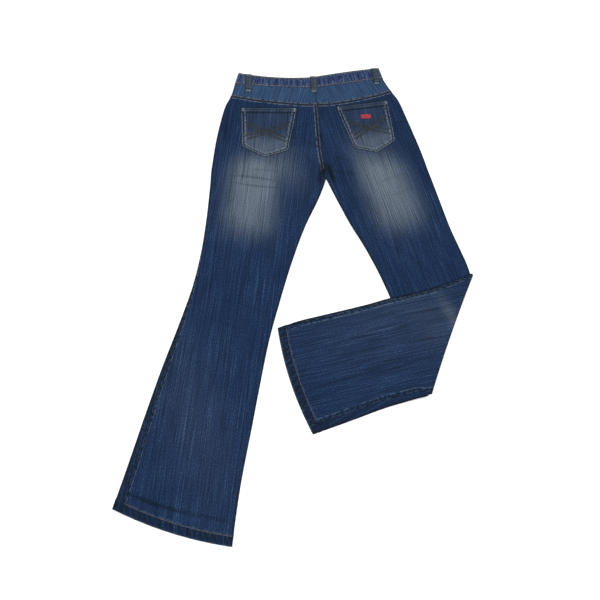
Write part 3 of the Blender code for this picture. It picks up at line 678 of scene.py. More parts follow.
@dataclass
class Cloth:
    """Grid of middle points of a cloth piece, with its thickness, grain, wear and painted shade.

    A leg panel also holds its rows' places down the leg, and its first row past the knee fold.
    """

    points: Array
    walls: Array
    outward: int = 1
    grain: Optional[Array] = None
    masks: Dict[str, Array] = field(default_factory=dict)
    seams: Tuple[Seam, ...] = ()
    places: Optional[Array] = None
    shin_from: int = 0

    def __post_init__(self) -> None:
        """Give the piece its distances and empty masks."""
        across = running(self.points, 1)
        down = running(self.points, 0)
        self.edges = {
            Edge.OUTER: (across, down),
            Edge.INNER: (across[:, -1:] - across, down),
            Edge.TOP: (down, across),
            Edge.BOTTOM: (down[-1:] - down, across),
        }
        if self.grain is None:
            self.grain = np.stack([across - across[:, -1:] / 2, -down], axis=-1)
        shape = self.points.shape[:2]
        for name in MASKS:
            self.masks.setdefault(name, np.full(shape, 2.0 if name == "seam_at" else 0.0))

    def normals(self) -> Array:
        """Unit normals that point out of the garment."""
        down = np.gradient(self.points, axis=0)
        over = np.gradient(self.points, axis=1)
        return unit(np.cross(down, over)) * self.outward

    def sew(self, seams: Tuple[Seam, ...], spans: Optional[Dict[Edge, Array]] = None) -> None:
        """Raise the seams' layers, pucker them, and note where they run for the finish.

        Args:
            seams: The seams.
            spans: For an edge, a mask from 0 to 1 down its rows where the seam is.
        """
        self.seams = self.seams + seams
        normals = self.normals()
        facing = np.clip(normals[..., 2], 0, 1)
        lift = np.zeros(self.points.shape[:2])
        for seam in seams:
            off, run = self.edges[seam.edge]
            strength = np.ones_like(off)
            if spans and seam.edge in spans:
                strength = strength * spans[seam.edge]
            plateau = 1 - ease((off - seam.width) / 2.2)
            hump = np.exp(-((off - seam.width * 0.5) / (seam.width * 0.42)) ** 2)
            swell = wobble(run + off * 0.6, seam.period)
            lift += strength * (seam.height * plateau + seam.pucker * hump * (swell - 0.5) * 2)
            ratio = off / seam.width + (1 - strength) * 5
            closer = ratio < self.masks["seam_at"]
            count = beats(run + off * 0.6, seam.period)
            wear = seam.wear * strength
            for name, value in (("seam_at", ratio), ("seam_beat", count), ("seam_wear", wear)):
                self.masks[name] = np.where(closer, value, self.masks[name])
        self.points = self.points + normals * (lift * facing)[..., None]

    def wear(self, fades: Sequence[Fade], creases: Sequence[Crease] = ()) -> None:
        """Note the worn patches, and the painted shade in crease bottoms, on rolled edges and along the
        outline, for the finish.

        Args:
            fades: Worn patches.
            creases: Creases whose bottoms get painted shade.
        """
        plan = self.points[..., :2]
        for patch in fades:
            self.masks["fade"] = self.masks["fade"] + patch.amount(plan)
        for crease in creases:
            if crease.shade:
                self.masks["shade"] = self.masks["shade"] + crease.darkness(plan)
        # Painted shade on rolled edges, which turn away from the light, and a painted dark outline a few
        # millimetres wide at both ends of each row.
        rolled = 1 - np.clip(np.abs(self.normals()[..., 2]), 0, 1)
        row = unit(plan[:, -1] - plan[:, 0])
        across = np.einsum("ijk,ik->ij", plan - plan[:, :1], row)
        first, last = across.min(axis=1, keepdims=True), across.max(axis=1, keepdims=True)
        outline = np.exp(-(np.minimum(across - first, last - across) / 3.2) ** 2)
        self.masks["shade"] = self.masks["shade"] + 0.95 * ease(rolled / 0.32) + 0.5 * outline

    def darken(self, edge: Edge, width: float, amount: float) -> None:
        """Shade a band along a border, where doubled cloth kept its dye."""
        off, run = self.edges[edge]
        blotch = 0.6 + 0.4 * wobble(run + 0.4 * off, 17.0)
        self.masks["shade"] = self.masks["shade"] + amount * blotch * (1 - ease((off - width) / 2.0))

    def surface(self) -> Tuple[Array, Array]:
        """Outer surface points and their normals."""
        normals = self.normals()
        return self.points + normals * self.walls[..., None] / 2, normals

    def line(self, edge: Edge, offset: float, trim: Tuple[float, float] = (0, 0)) -> Tuple[Array, Array]:
        """Line on the outer surface at one distance from a border.

        Args:
            edge: The border.
            offset: Distance from it.
            trim: Lengths left out at the line's start and end.

        Returns:
            The line's points and normals.
        """
        points, normals = self.surface()
        off = self.edges[edge][0]
        if edge in (Edge.TOP, Edge.BOTTOM):
            points, normals, off = points.swapaxes(0, 1), normals.swapaxes(0, 1), off.T
        if edge in (Edge.INNER, Edge.BOTTOM):
            points, normals, off = points[:, ::-1], normals[:, ::-1], off[:, ::-1]
        path, up = [], []
        for row, normal, distance in zip(points, normals, off):
            k = int(np.clip(np.searchsorted(distance, offset), 1, len(distance) - 1))
            t = (offset - distance[k - 1]) / max(distance[k] - distance[k - 1], 1e-6)
            path.append(lerp(row[k - 1], row[k], t))
            up.append(lerp(normal[k - 1], normal[k], t))
        path, up = np.array(path), unit(np.array(up))
        run = running(path, 0)
        keep = (run >= trim[0]) & (run <= run[-1] - trim[1])
        return path[keep], up[keep]

    def mesh(self, name: str) -> bpy.types.Mesh:
        """Closed shell on the grid, with its grain as a UV map and its masks as attributes.

        Args:
            name: Name of the mesh.

        Returns:
            The mesh, in metres in the shared frame.
        """
        count, width = self.points.shape[:2]
        normals = self.normals()
        half = normals * self.walls[..., None] / 2
        both = np.stack([self.points + half, self.points - half])
        both[..., 2] = np.maximum(both[..., 2], 0.0)
        points = ((both + CROTCH_AT) * MM).reshape(-1, 3)
        index = np.arange(2 * count * width).reshape(2, count, width)
        outer, inner = index
        faces = [
            np.stack([outer[:-1, :-1], outer[1:, :-1], outer[1:, 1:], outer[:-1, 1:]], -1).reshape(-1, 4),
            np.stack([inner[:-1, :-1], inner[:-1, 1:], inner[1:, 1:], inner[1:, :-1]], -1).reshape(-1, 4),
            np.stack([outer[:-1, 0], inner[:-1, 0], inner[1:, 0], outer[1:, 0]], -1),
            np.stack([outer[1:, -1], inner[1:, -1], inner[:-1, -1], outer[:-1, -1]], -1),
            np.stack([outer[0, :-1], outer[0, 1:], inner[0, 1:], inner[0, :-1]], -1),
            np.stack([outer[-1, 1:], outer[-1, :-1], inner[-1, :-1], inner[-1, 1:]], -1),
        ]
        quads = np.concatenate(faces)
        if self.outward < 0:
            quads = quads[:, ::-1]
        mesh = bpy.data.meshes.new(name)
        mesh.from_pydata(points.tolist(), [], quads.tolist())
        loops = quads.reshape(-1)
        layer = mesh.uv_layers.new(name="grain")
        grain = np.tile(self.grain.reshape(-1, 2), (2, 1)) * MM
        layer.data.foreach_set("uv", grain[loops].reshape(-1).astype(np.float32))
        for mask, values in self.masks.items():
            attribute = mesh.attributes.new(mask, "FLOAT", "POINT")
            attribute.data.foreach_set("value", np.tile(values.reshape(-1), 2).astype(np.float32))
        mesh.shade_smooth()
        mesh.set_sharp_from_angle(angle=math.radians(55))
        return mesh


def linear(colour: str) -> Tuple[float, float, float, float]:
    """Turn an sRGB hex colour into linear red, green, blue and alpha."""
    parts = [int(colour[i:i + 2], 16) / 255 for i in (1, 3, 5)]
    return (*[c / 12.92 if c <= 0.04045 else ((c + 0.055) / 1.055) ** 2.4 for c in parts], 1.0)


def add_node(tree: bpy.types.NodeTree, kind: str, settings: Optional[Dict[str, Any]] = None,
             inputs: Optional[Dict[Any, Any]] = None) -> bpy.types.Node:
    """Add a shader node with its settings, values and links.

    Args:
        tree: The material's node tree.
        kind: The node's type.
        settings: Its properties.
        inputs: For each input, a value or an output socket to link.

    Returns:
        The node.
    """
    made = tree.nodes.new(kind)
    for name, value in (settings or {}).items():
        setattr(made, name, value)
    for name, value in (inputs or {}).items():
        if isinstance(value, bpy.types.NodeSocket):
            tree.links.new(value, made.inputs[name])
        else:
            made.inputs[name].default_value = value
    return made


class Graph:
    """A material and its node tree, with the few kinds of node that the finishes share."""

    def __init__(self, name: str) -> None:
        """Start a material."""
        self.material = bpy.data.materials.new(name)
        self.material.use_nodes = True
        self.tree = self.material.node_tree
        self.shader = self.tree.nodes["Principled BSDF"]

    def node(self, kind: str, settings: Optional[Dict[str, Any]] = None,
             inputs: Optional[Dict[Any, Any]] = None) -> bpy.types.Node:
        """Add a node to the tree."""
        return add_node(self.tree, kind, settings, inputs)

    def grain(self) -> Socket:
        """The cloth's own coordinates, along and across its warp."""
        return self.node("ShaderNodeUVMap", {"uv_map": "grain"}).outputs["UV"]

    def place(self) -> Socket:
        """Object coordinates."""
        return self.node("ShaderNodeTexCoord").outputs["Object"]

    def calc(self, operation: str, *values: Any, clamp: bool = False) -> Socket:
        """Result of one operation on sockets or numbers."""
        settings = {"operation": operation, "use_clamp": clamp}
        return self.node("ShaderNodeMath", settings, dict(enumerate(values))).outputs[0]

    def product(self, first: Socket, *others: Socket) -> Socket:
        """Product of several values."""
        for other in others:
            first = self.calc("MULTIPLY", first, other)
        return first

    def remap(self, value: Socket, start: float, end: float, low: float = 0.0, high: float = 1.0) -> Socket:
        """Value brought from one span to another, and held inside it."""
        return self.node("ShaderNodeMapRange", {}, {
            "Value": value, "From Min": start, "From Max": end, "To Min": low, "To Max": high}).outputs[0]

    def noise(self, place: Socket, scale: float, detail: float = 2.0) -> Socket:
        """Cloudy noise at a place."""
        return self.node("ShaderNodeTexNoise", {}, {
            "Vector": place, "Scale": scale, "Detail": detail}).outputs["Fac"]

    def bands(self, place: Socket, period_mm: float, distortion: float, detail: float = 2.0,
              detail_scale: float = 1.0) -> Socket:
        """Even bands across the first coordinate."""
        return self.node("ShaderNodeTexWave", {"bands_direction": "X"}, {
            "Vector": place, "Scale": WAVE_PERIOD / (period_mm * MM), "Distortion": distortion,
            "Detail": detail, "Detail Scale": detail_scale}).outputs["Fac"]

    def ramp(self, value: Socket, stops: Sequence[Tuple[float, str]]) -> Socket:
        """Colour of a value on a ramp.

        Args:
            value: Place on the ramp.
            stops: Position and hex colour of each stop.

        Returns:
            The colour.
        """
        made = self.node("ShaderNodeValToRGB", {}, {"Fac": value})
        elements = made.color_ramp.elements
        for k, (position, colour) in enumerate(stops):
            element = elements[k] if k < len(elements) else elements.new(position)
            element.position = position
            element.color = linear(colour)
        return made.outputs["Color"]

    def blend(self, factor: Socket, first: Any, second: Any) -> Socket:
        """Mix of two colours."""
        return self.node("ShaderNodeMix", {"data_type": "RGBA"}, {
            "Factor": factor, 6: first, 7: second}).outputs[2]

    def bump(self, height: Socket, strength: float, distance: float) -> None:
        """Tilt the shader's normal by a height."""
        made = self.node("ShaderNodeBump", {}, {
            "Height": height, "Strength": strength, "Distance": distance})
        self.tree.links.new(made.outputs["Normal"], self.shader.inputs["Normal"])

    def finish(self, colour: Socket, values: Dict[str, float]) -> bpy.types.Material:
        """Colour the shader and set its plain values.

        Args:
            colour: Its colour.
            values: Its other inputs.

        Returns:
            The material.
        """
        self.tree.links.new(colour, self.shader.inputs["Base Color"])
        for name, value in values.items():
            self.shader.inputs[name].default_value = value
        return self.material


@dataclass(frozen=True)
class Streak:
    """One size of the warp's uneven yarns: width and length in millimetres, and its share."""

    width: float
    length: float
    weight: float
    seed: float


@dataclass(frozen=True)
class Denim:
    """Washed indigo denim, ring-spun: slub yarns give streaks along the warp, and wear greys it.

    The short flecks, the long streaks and the creased lines stand for single yarns of half a
    millimetre. All of them are drawn coarser, so that they show from where the camera stands.
    """

    name: str = "washed_indigo_denim"
    stops: Tuple[Tuple[float, str], ...] = (
        (0.0, "#0b1322"), (0.3, "#0e1c34"), (0.5, "#132541"), (0.7, "#1e3555"), (1.0, "#4b6380"),
    )
    worn: Tuple[Tuple[float, str], ...] = ((0.0, "#364152"), (0.5, "#57616d"), (1.0, "#77828a"))
    seam_rub: str = "#75828f"
    # Colour that the painted shade, the seams' dark dashes and the creased lines darken the cloth towards.
    deepest: str = "#0a131b"
    streaks: Tuple[Streak, ...] = (
        Streak(2.2, 150, 0.09, 1.0), Streak(1.2, 60, 0.06, 5.0), Streak(5.0, 240, 0.02, 9.0),
        Streak(2.0, 3.2, 0.15, 13.0), Streak(50.0, 70.0, 0.03, 17.0),
    )
    line: Streak = Streak(9.0, 170, 0.5, 23.0)
    pale_line: Streak = Streak(11.0, 200, 0.09, 29.0)
    drift: Streak = Streak(16.0, 260, 2.6, 31.0)
    line_spacing_mm: float = 5.6
    base_fade: float = 0.0
    twill_mm: float = 1.1
    twill_degrees: float = 27.0

    def build(self) -> bpy.types.Material:
        """Make the material.

        Returns:
            The material, which reads the grain UV map and the cloth's masks.
        """
        graph = Graph(self.name)
        grain = graph.grain()
        masks = {name: graph.node("ShaderNodeAttribute", {"attribute_name": name}).outputs["Fac"]
                 for name in MASKS}

        yarn = None
        for streak in self.streaks:
            noise = self.stretched(graph, grain, streak)
            spread = graph.remap(noise, 0.34, 0.66, -streak.weight, streak.weight)
            yarn = spread if yarn is None else graph.calc("ADD", yarn, spread)
        crinkle = self.crinkle(graph, grain)
        pale = graph.remap(crinkle, -0.3, -0.9)
        noise = self.stretched(graph, grain, self.pale_line)
        much = graph.remap(noise, 0.42, 0.58, 0.0, self.pale_line.weight)
        level = graph.calc("ADD", graph.calc("MULTIPLY_ADD", pale, much, yarn), 0.5)
        patchy = graph.calc("MULTIPLY_ADD", yarn, 0.4, 1.0)
        wear = graph.calc("ADD", masks["fade"], self.base_fade)
        fade = graph.calc("MULTIPLY", wear, patchy, clamp=True)
        colour = graph.blend(fade, graph.ramp(level, self.stops), graph.ramp(level, self.worn))

        # Thin dark lines where the washed cloth has creased along its warp.
        thin = graph.remap(crinkle, 0.3, 0.9)
        much = graph.remap(self.stretched(graph, grain, self.line), 0.42, 0.6, 0.1, self.line.weight)
        line = graph.calc("MULTIPLY", thin, much)

        tick, edge = self.seam_marks(graph, masks)
        colour = graph.blend(edge, colour, linear(self.seam_rub))
        # Painted shade from the shade mask, with the seams' dark dashes and the creased lines, darkens the
        # colour.
        dark = graph.calc("MULTIPLY_ADD", masks["shade"], 0.8, tick)
        dark = graph.calc("ADD", dark, line, clamp=True)
        colour = graph.blend(dark, colour, linear(self.deepest))

        twill = graph.node("ShaderNodeMapping", {}, {
            "Vector": grain, "Rotation": (0, 0, math.radians(self.twill_degrees))}).outputs["Vector"]
        ribs = graph.bands(twill, self.twill_mm, 1.2, 1.0, 0.6)
        height = graph.calc("MULTIPLY_ADD", ribs, 0.3, level)
        height = graph.calc("MULTIPLY_ADD", dark, -0.9, height)
        graph.bump(height, 0.7, 0.0006)
        return graph.finish(colour, {
            "Roughness": 0.92, "Specular IOR Level": 0.08, "Sheen Weight": 0.015, "Sheen Roughness": 0.6})

    def crinkle(self, graph: Graph, grain: Socket) -> Socket:
        """Wave across the warp, from -1 to 1, whose crests wander, run together and part again."""
        across = graph.node("ShaderNodeSeparateXYZ", {}, {"Vector": grain}).outputs["X"]
        drift = self.stretched(graph, grain, self.drift)
        drift = graph.calc("MULTIPLY", drift, 2 * math.pi * self.drift.weight)
        pace = 2 * math.pi / (self.line_spacing_mm * MM)
        return graph.calc("SINE", graph.calc("MULTIPLY_ADD", across, pace, drift))

    def stretched(self, graph: Graph, grain: Socket, streak: Streak) -> Socket:
        """Noise of a streak's size, drawn out along the warp."""
        scaled = graph.node("ShaderNodeMapping", {}, {
            "Vector": grain, "Location": (streak.seed, streak.seed * 1.7, 0),
            "Scale": (1 / (streak.width * MM), 1 / (streak.length * MM), 1)})
        noise = graph.node("ShaderNodeTexNoise", {"noise_dimensions": "2D"}, {
            "Vector": scaled.outputs["Vector"], "Scale": 1.0, "Detail": 2.0, "Roughness": 0.55})
        return noise.outputs["Fac"]

    def seam_marks(self, graph: Graph, masks: Dict[str, Socket]) -> Tuple[Socket, Socket]:
        """Dark dashes in a seam's puckers, and the pale worn parts of its edges.

        Args:
            graph: The material's nodes.
            masks: Sockets of the cloth's masks.

        Returns:
            Strength of the dark dashes and of the pale edges.
        """
        place = graph.node("ShaderNodeCombineXYZ", {}, {"X": masks["seam_beat"], "Y": masks["seam_at"]})
        noise = graph.node("ShaderNodeTexNoise", {"noise_dimensions": "2D"}, {
            "Vector": place.outputs[0], "Scale": 0.9, "Detail": 1.5}).outputs["Fac"]
        phase = graph.calc("MULTIPLY_ADD", noise, 0.5, masks["seam_beat"])
        wave = graph.calc("SINE", graph.calc("MULTIPLY", phase, 2 * math.pi))
        trough = graph.remap(wave, 0.1, -0.4, 0.0, 0.95)
        off = graph.calc("ABSOLUTE", graph.calc("SUBTRACT", masks["seam_at"], 0.52))
        inside = graph.remap(off, 0.26, 0.46, 1.0, 0.0)
        tick = graph.product(trough, inside, masks["seam_wear"])
        rim = graph.remap(off, 0.3, 0.5)
        past = graph.remap(off, 0.52, 0.62, 1.0, 0.0)
        pale = graph.remap(noise, 0.42, 0.54)
        strong = graph.calc("POWER", masks["seam_wear"], 2.2)
        return tick, graph.product(rim, past, pale, strong)


@dataclass(frozen=True)
class Thread:
    """Cotton-wrapped topstitching thread: matt, twisted, and faded unevenly by washing."""

    name: str
    dark: str
    light: str

    def build(self) -> bpy.types.Material:
        """Make the material, in object coordinates."""
        graph = Graph(self.name)
        place = graph.place()
        colour = graph.ramp(graph.noise(place, 160.0), ((0.35, self.dark), (0.65, self.light)))
        graph.bump(graph.noise(place, 2600.0, 1.0), 0.4, 0.0002)
        return graph.finish(colour, {"Roughness": 0.85, "Specular IOR Level": 0.25})


@dataclass(frozen=True)
class WovenTape:
    """Plain woven cotton or polyester tape: fine even ribs across, and a soft dull shine."""

    name: str
    dark: str
    light: str
    rib_mm: float = 0.9

    def build(self) -> bpy.types.Material:
        """Make the material, which reads the grain UV map."""
        graph = Graph(self.name)
        grain = graph.grain()
        ribs = graph.bands(grain, self.rib_mm, 0.6)
        level = graph.calc("MULTIPLY_ADD", ribs, 0.3, graph.noise(grain, 320.0, 3.0))
        colour = graph.ramp(level, ((0.35, self.dark), (0.85, self.light)))
        graph.bump(ribs, 0.5, 0.0003)
        return graph.finish(colour, {"Roughness": 0.7})


@dataclass(frozen=True)
class CastMetal:
    """Zinc casting with an antique brass plating: warm and brushed thin, its tone uneven."""

    name: str
    dark: str
    light: str

    def build(self) -> bpy.types.Material:
        """Make the material, in object coordinates."""
        graph = Graph(self.name)
        tone = graph.noise(graph.place(), 450.0, 4.0)
        rough = graph.remap(tone, 0.0, 1.0, 0.3, 0.55)
        graph.tree.links.new(rough, graph.shader.inputs["Roughness"])
        return graph.finish(graph.ramp(tone, ((0.3, self.dark), (0.7, self.light))), {"Metallic": 1.0})


class Finishes:
    """Every material of the jeans, made once."""

    def __init__(self) -> None:
        """Build the materials."""
        loop = ((0.0, "#10151c"), (0.3, "#1e262d"), (0.5, "#2f393f"), (0.7, "#424c50"), (1.0, "#6a7372"))
        band = ((0.0, "#0f1730"), (0.3, "#1a2546"), (0.5, "#263558"), (0.7, "#35476c"), (1.0, "#5b6b87"))
        yoke = ((0.0, "#0d1830"), (0.3, "#172b48"), (0.5, "#213a5c"), (0.7, "#304e70"), (1.0, "#54708a"))
        pucker = (Streak(4.0, 40, 0.26, 31.0), Streak(1.6, 14, 0.14, 35.0), Streak(2.0, 3.2, 0.16, 13.0))
        self.denim = Denim().build()
        self.yoke = Denim("yoke_denim", yoke, base_fade=0.08).build()
        self.band = Denim("waistband_denim", band, streaks=pucker, base_fade=0.02).build()
        self.pocket = Denim("pocket_denim", base_fade=0.1).build()
        self.loop = Denim("worn_loop_denim", loop).build()
        self.thread = Thread("faded_tan_thread", "#5c574f", "#857b6b").build()
        self.pale_thread = Thread("faded_pale_thread", "#67717a", "#949c9f").build()
        self.olive_thread = Thread("faded_olive_thread", "#434a45", "#666d64").build()
        self.band_thread = Thread("faded_beige_thread", "#7d776b", "#a59c8a").build()
        self.thick_thread = Thread("olive_cord_thread", "#22282a", "#3c3f36").build()
        self.red_tape = WovenTape("red_woven_tape", "#701420", "#a32a35").build()
        self.zip_tape = WovenTape("navy_zip_tape", "#131c33", "#26324f").build()
        self.brass = CastMetal("antique_brass", "#4e3a22", "#9a7a4a").build()


def add_piece(name: str, mesh: bpy.types.Mesh, material: bpy.types.Material, slot: str,
              *replaced: str) -> bpy.types.Object:
    """Link a finished mesh as a piece that rides on the jeans.

    Args:
        name: The piece's name.
        mesh: Its mesh, in place.
        material: Its finish.
        slot: Not used.
        *replaced: CAD nodes that it stands for.

    Returns:
        The piece.
    """
    mesh.materials.clear()
    mesh.materials.append(material)
    piece = bpy.data.objects.new(name, mesh)
    bpy.context.scene.collection.objects.link(piece)
    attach(piece, "root")
    if replaced:
        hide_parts(*replaced)
    LOG.info("%s: %d faces", name, len(mesh.polygons))
    return piece


class Ground:
    """Finished cloth that other pieces are laid on or sewn through."""

    def __init__(self, pieces: Sequence[bpy.types.Object]) -> None:
        """Build a search tree for each piece."""
        self.trees = []
        for piece in pieces:
            points = [v.co.copy() for v in piece.data.vertices]
            faces = [tuple(p.vertices) for p in piece.data.polygons]
            self.trees.append(BVHTree.FromPolygons(points, faces))

    def hit(self, x: float, y: float, from_above: bool = True) -> Tuple[float, Array]:
        """Height and normal of the first surface met over or under a plan point.

        Args:
            x: Plan place.
            y: Plan place.
            from_above: Whether the cloth is looked at from above.

        Returns:
            The height in millimetres and the surface's normal.
        """
        sense = 1 if from_above else -1
        start = Vector(((x + CROTCH_AT[0]) * MM, (y + CROTCH_AT[1]) * MM, sense * 0.5))
        best, normal = (0.0 if from_above else 99.0), (0, 0, sense)
        for tree in self.trees:
            place, up, _, _ = tree.ray_cast(start, Vector((0, 0, -sense)))
            if place and (place.z / MM - best) * sense > 0:
                best, normal = place.z / MM, up
        return best, np.array(normal, float) * (1 if normal[2] * sense > 0 else -1)

    def path(self, plan: Array, from_above: bool = True, step: float = 2.0) -> Tuple[Array, Array]:
        """Lay a plan line on the cloth.

        Args:
            plan: Corners of the line.
            from_above: Whether it lies on the upper side.
            step: Distance between its points.

        Returns:
            Points on the surface and its normals there.
        """
        run = running(plan, 0)
        at = np.arange(0, run[-1] + step / 2, step)
        points, normals = [], []
        for x, y in sample(at, run, plan):
            height, normal = self.hit(x, y, from_above)
            points.append((x, y, height))
            normals.append(normal)
        return np.array(points), unit(np.array(normals))


# One stitch: place along it, half its width there and its arch, as shares of its size.
STITCH_RINGS = ((-0.32, 0.8, 0.6), (0.0, 1.0, 1.0), (0.32, 0.8, 0.6))


@dataclass
class Sewing:
    """Rows of stitches of one thread, joined into one piece."""

    name: str
    material: bpy.types.Material
    slot: str = "denim"
    pitch: float = 3.1
    length: float = 2.6
    width: float = 1.1
    height: float = 0.6
    points: List[Array] = field(default_factory=list)

    def template(self, length: float, width: float, height: float) -> Array:
        """Points of one stitch: along, across and up."""
        made = [(-length / 2, 0.0, -0.25 * height)]
        for along, wide, arch in STITCH_RINGS:
            x, w, top = along * length, wide * width / 2, arch * height
            made += [(x, -w, top * 0.35), (x, 0, top), (x, w, top * 0.35), (x, 0, -0.3 * height)]
        made.append((length / 2, 0.0, -0.25 * height))
        return np.array(made)

    def row(self, path: Array, normals: Array) -> None:
        """Sew one row along a line.

        Args:
            path: Points on the cloth.
            normals: The cloth's normals there.
        """
        if len(path) < 2:
            return
        run = running(path, 0)
        count = int(run[-1] / self.pitch)
        if count < 1:
            return
        at = (np.arange(count) + 0.5) * run[-1] / count
        along = unit(sample(at + 1, run, path) - sample(at - 1, run, path))
        self.place(sample(at, run, path), along, unit(sample(at, run, normals)), self.length)

    def place(self, centre: Array, along: Array, up: Array, length: float) -> None:
        """Put stitches at given places.

        Args:
            centre: Their middles.
            along: Their directions.
            up: The cloth's normals.
            length: Their length.
        """
        side = unit(np.cross(up, along))
        up = np.cross(along, side)
        shape = self.template(length, self.width, self.height)
        made = (centre[:, None] + along[:, None] * shape[:, :1] + side[:, None] * shape[:, 1:2]
                + up[:, None] * shape[:, 2:3])
        self.points.append(made)

    def bartack(self, centre: Array, along: Array, up: Array, run: float, wide: float) -> None:
        """Sew a dense bar of stitches across a line.

        Args:
            centre: Middle of the bar.
            along: Direction of the bar.
            up: The cloth's normal.
            run: Length of the bar.
            wide: Width of the bar, which is each stitch's length.
        """
        count = max(int(run / 0.8), 3)
        at = np.linspace(-run / 2, run / 2, count)[:, None]
        across = unit(np.cross(up, along))
        slant = unit(across + 0.18 * along)
        centres = centre + along * at
        self.place(centres, np.tile(slant, (count, 1)), np.tile(up, (count, 1)), wide)

    def finish(self) -> Optional[bpy.types.Object]:
        """Join the stitches into one piece.

        Returns:
            The piece, or nothing where no row was sewn.
        """
        if not self.points:
            return None
        every = np.concatenate(self.points)
        count, each = every.shape[:2]
        rings = len(STITCH_RINGS)
        faces: List[Tuple[int, ...]] = []
        for k in range(4):
            n = (k + 1) % 4
            faces.append((0, 1 + n, 1 + k))
            for r in range(rings - 1):
                a, b = 1 + r * 4, 5 + r * 4
                faces.append((a + k, a + n, b + n, b + k))
            last = 1 + (rings - 1) * 4
            faces.append((last + k, last + n, each - 1))
        points = ((every + CROTCH_AT) * MM).reshape(-1, 3)
        points[:, 2] = np.maximum(points[:, 2], 0.0)
        joined = [tuple(v + s * each for v in face) for s in range(count) for face in faces]
        mesh = bpy.data.meshes.new(self.name)
        mesh.from_pydata(points.tolist(), [], joined)
        mesh.shade_smooth()
        return add_piece(self.name, mesh, self.material, self.slot)


def centre_dip(places: Array, layer: Layer) -> Optional[Array]:
    """How far the front's waist drops at the centre, for each row."""
    if layer is Layer.BACK:
        return None
    return FRONT_DIP * (1 - ease(places - BAND_SEAM))


def hem_walls(places: Array, leg: Leg) -> Array:
    """Thickness of each row down a leg, with the turned hem at the last ones."""
    last, before = leg.sections[-1], leg.sections[-2]
    span = math.hypot(last.outer_x - before.outer_x, last.outer_y - before.outer_y)
    from_end = (len(leg.sections) - 1 - places) * span
    return WALL + (HEM_WALL - WALL) * (1 - ease((from_end - HEM_WIDTH + 0.5) / 1.5))


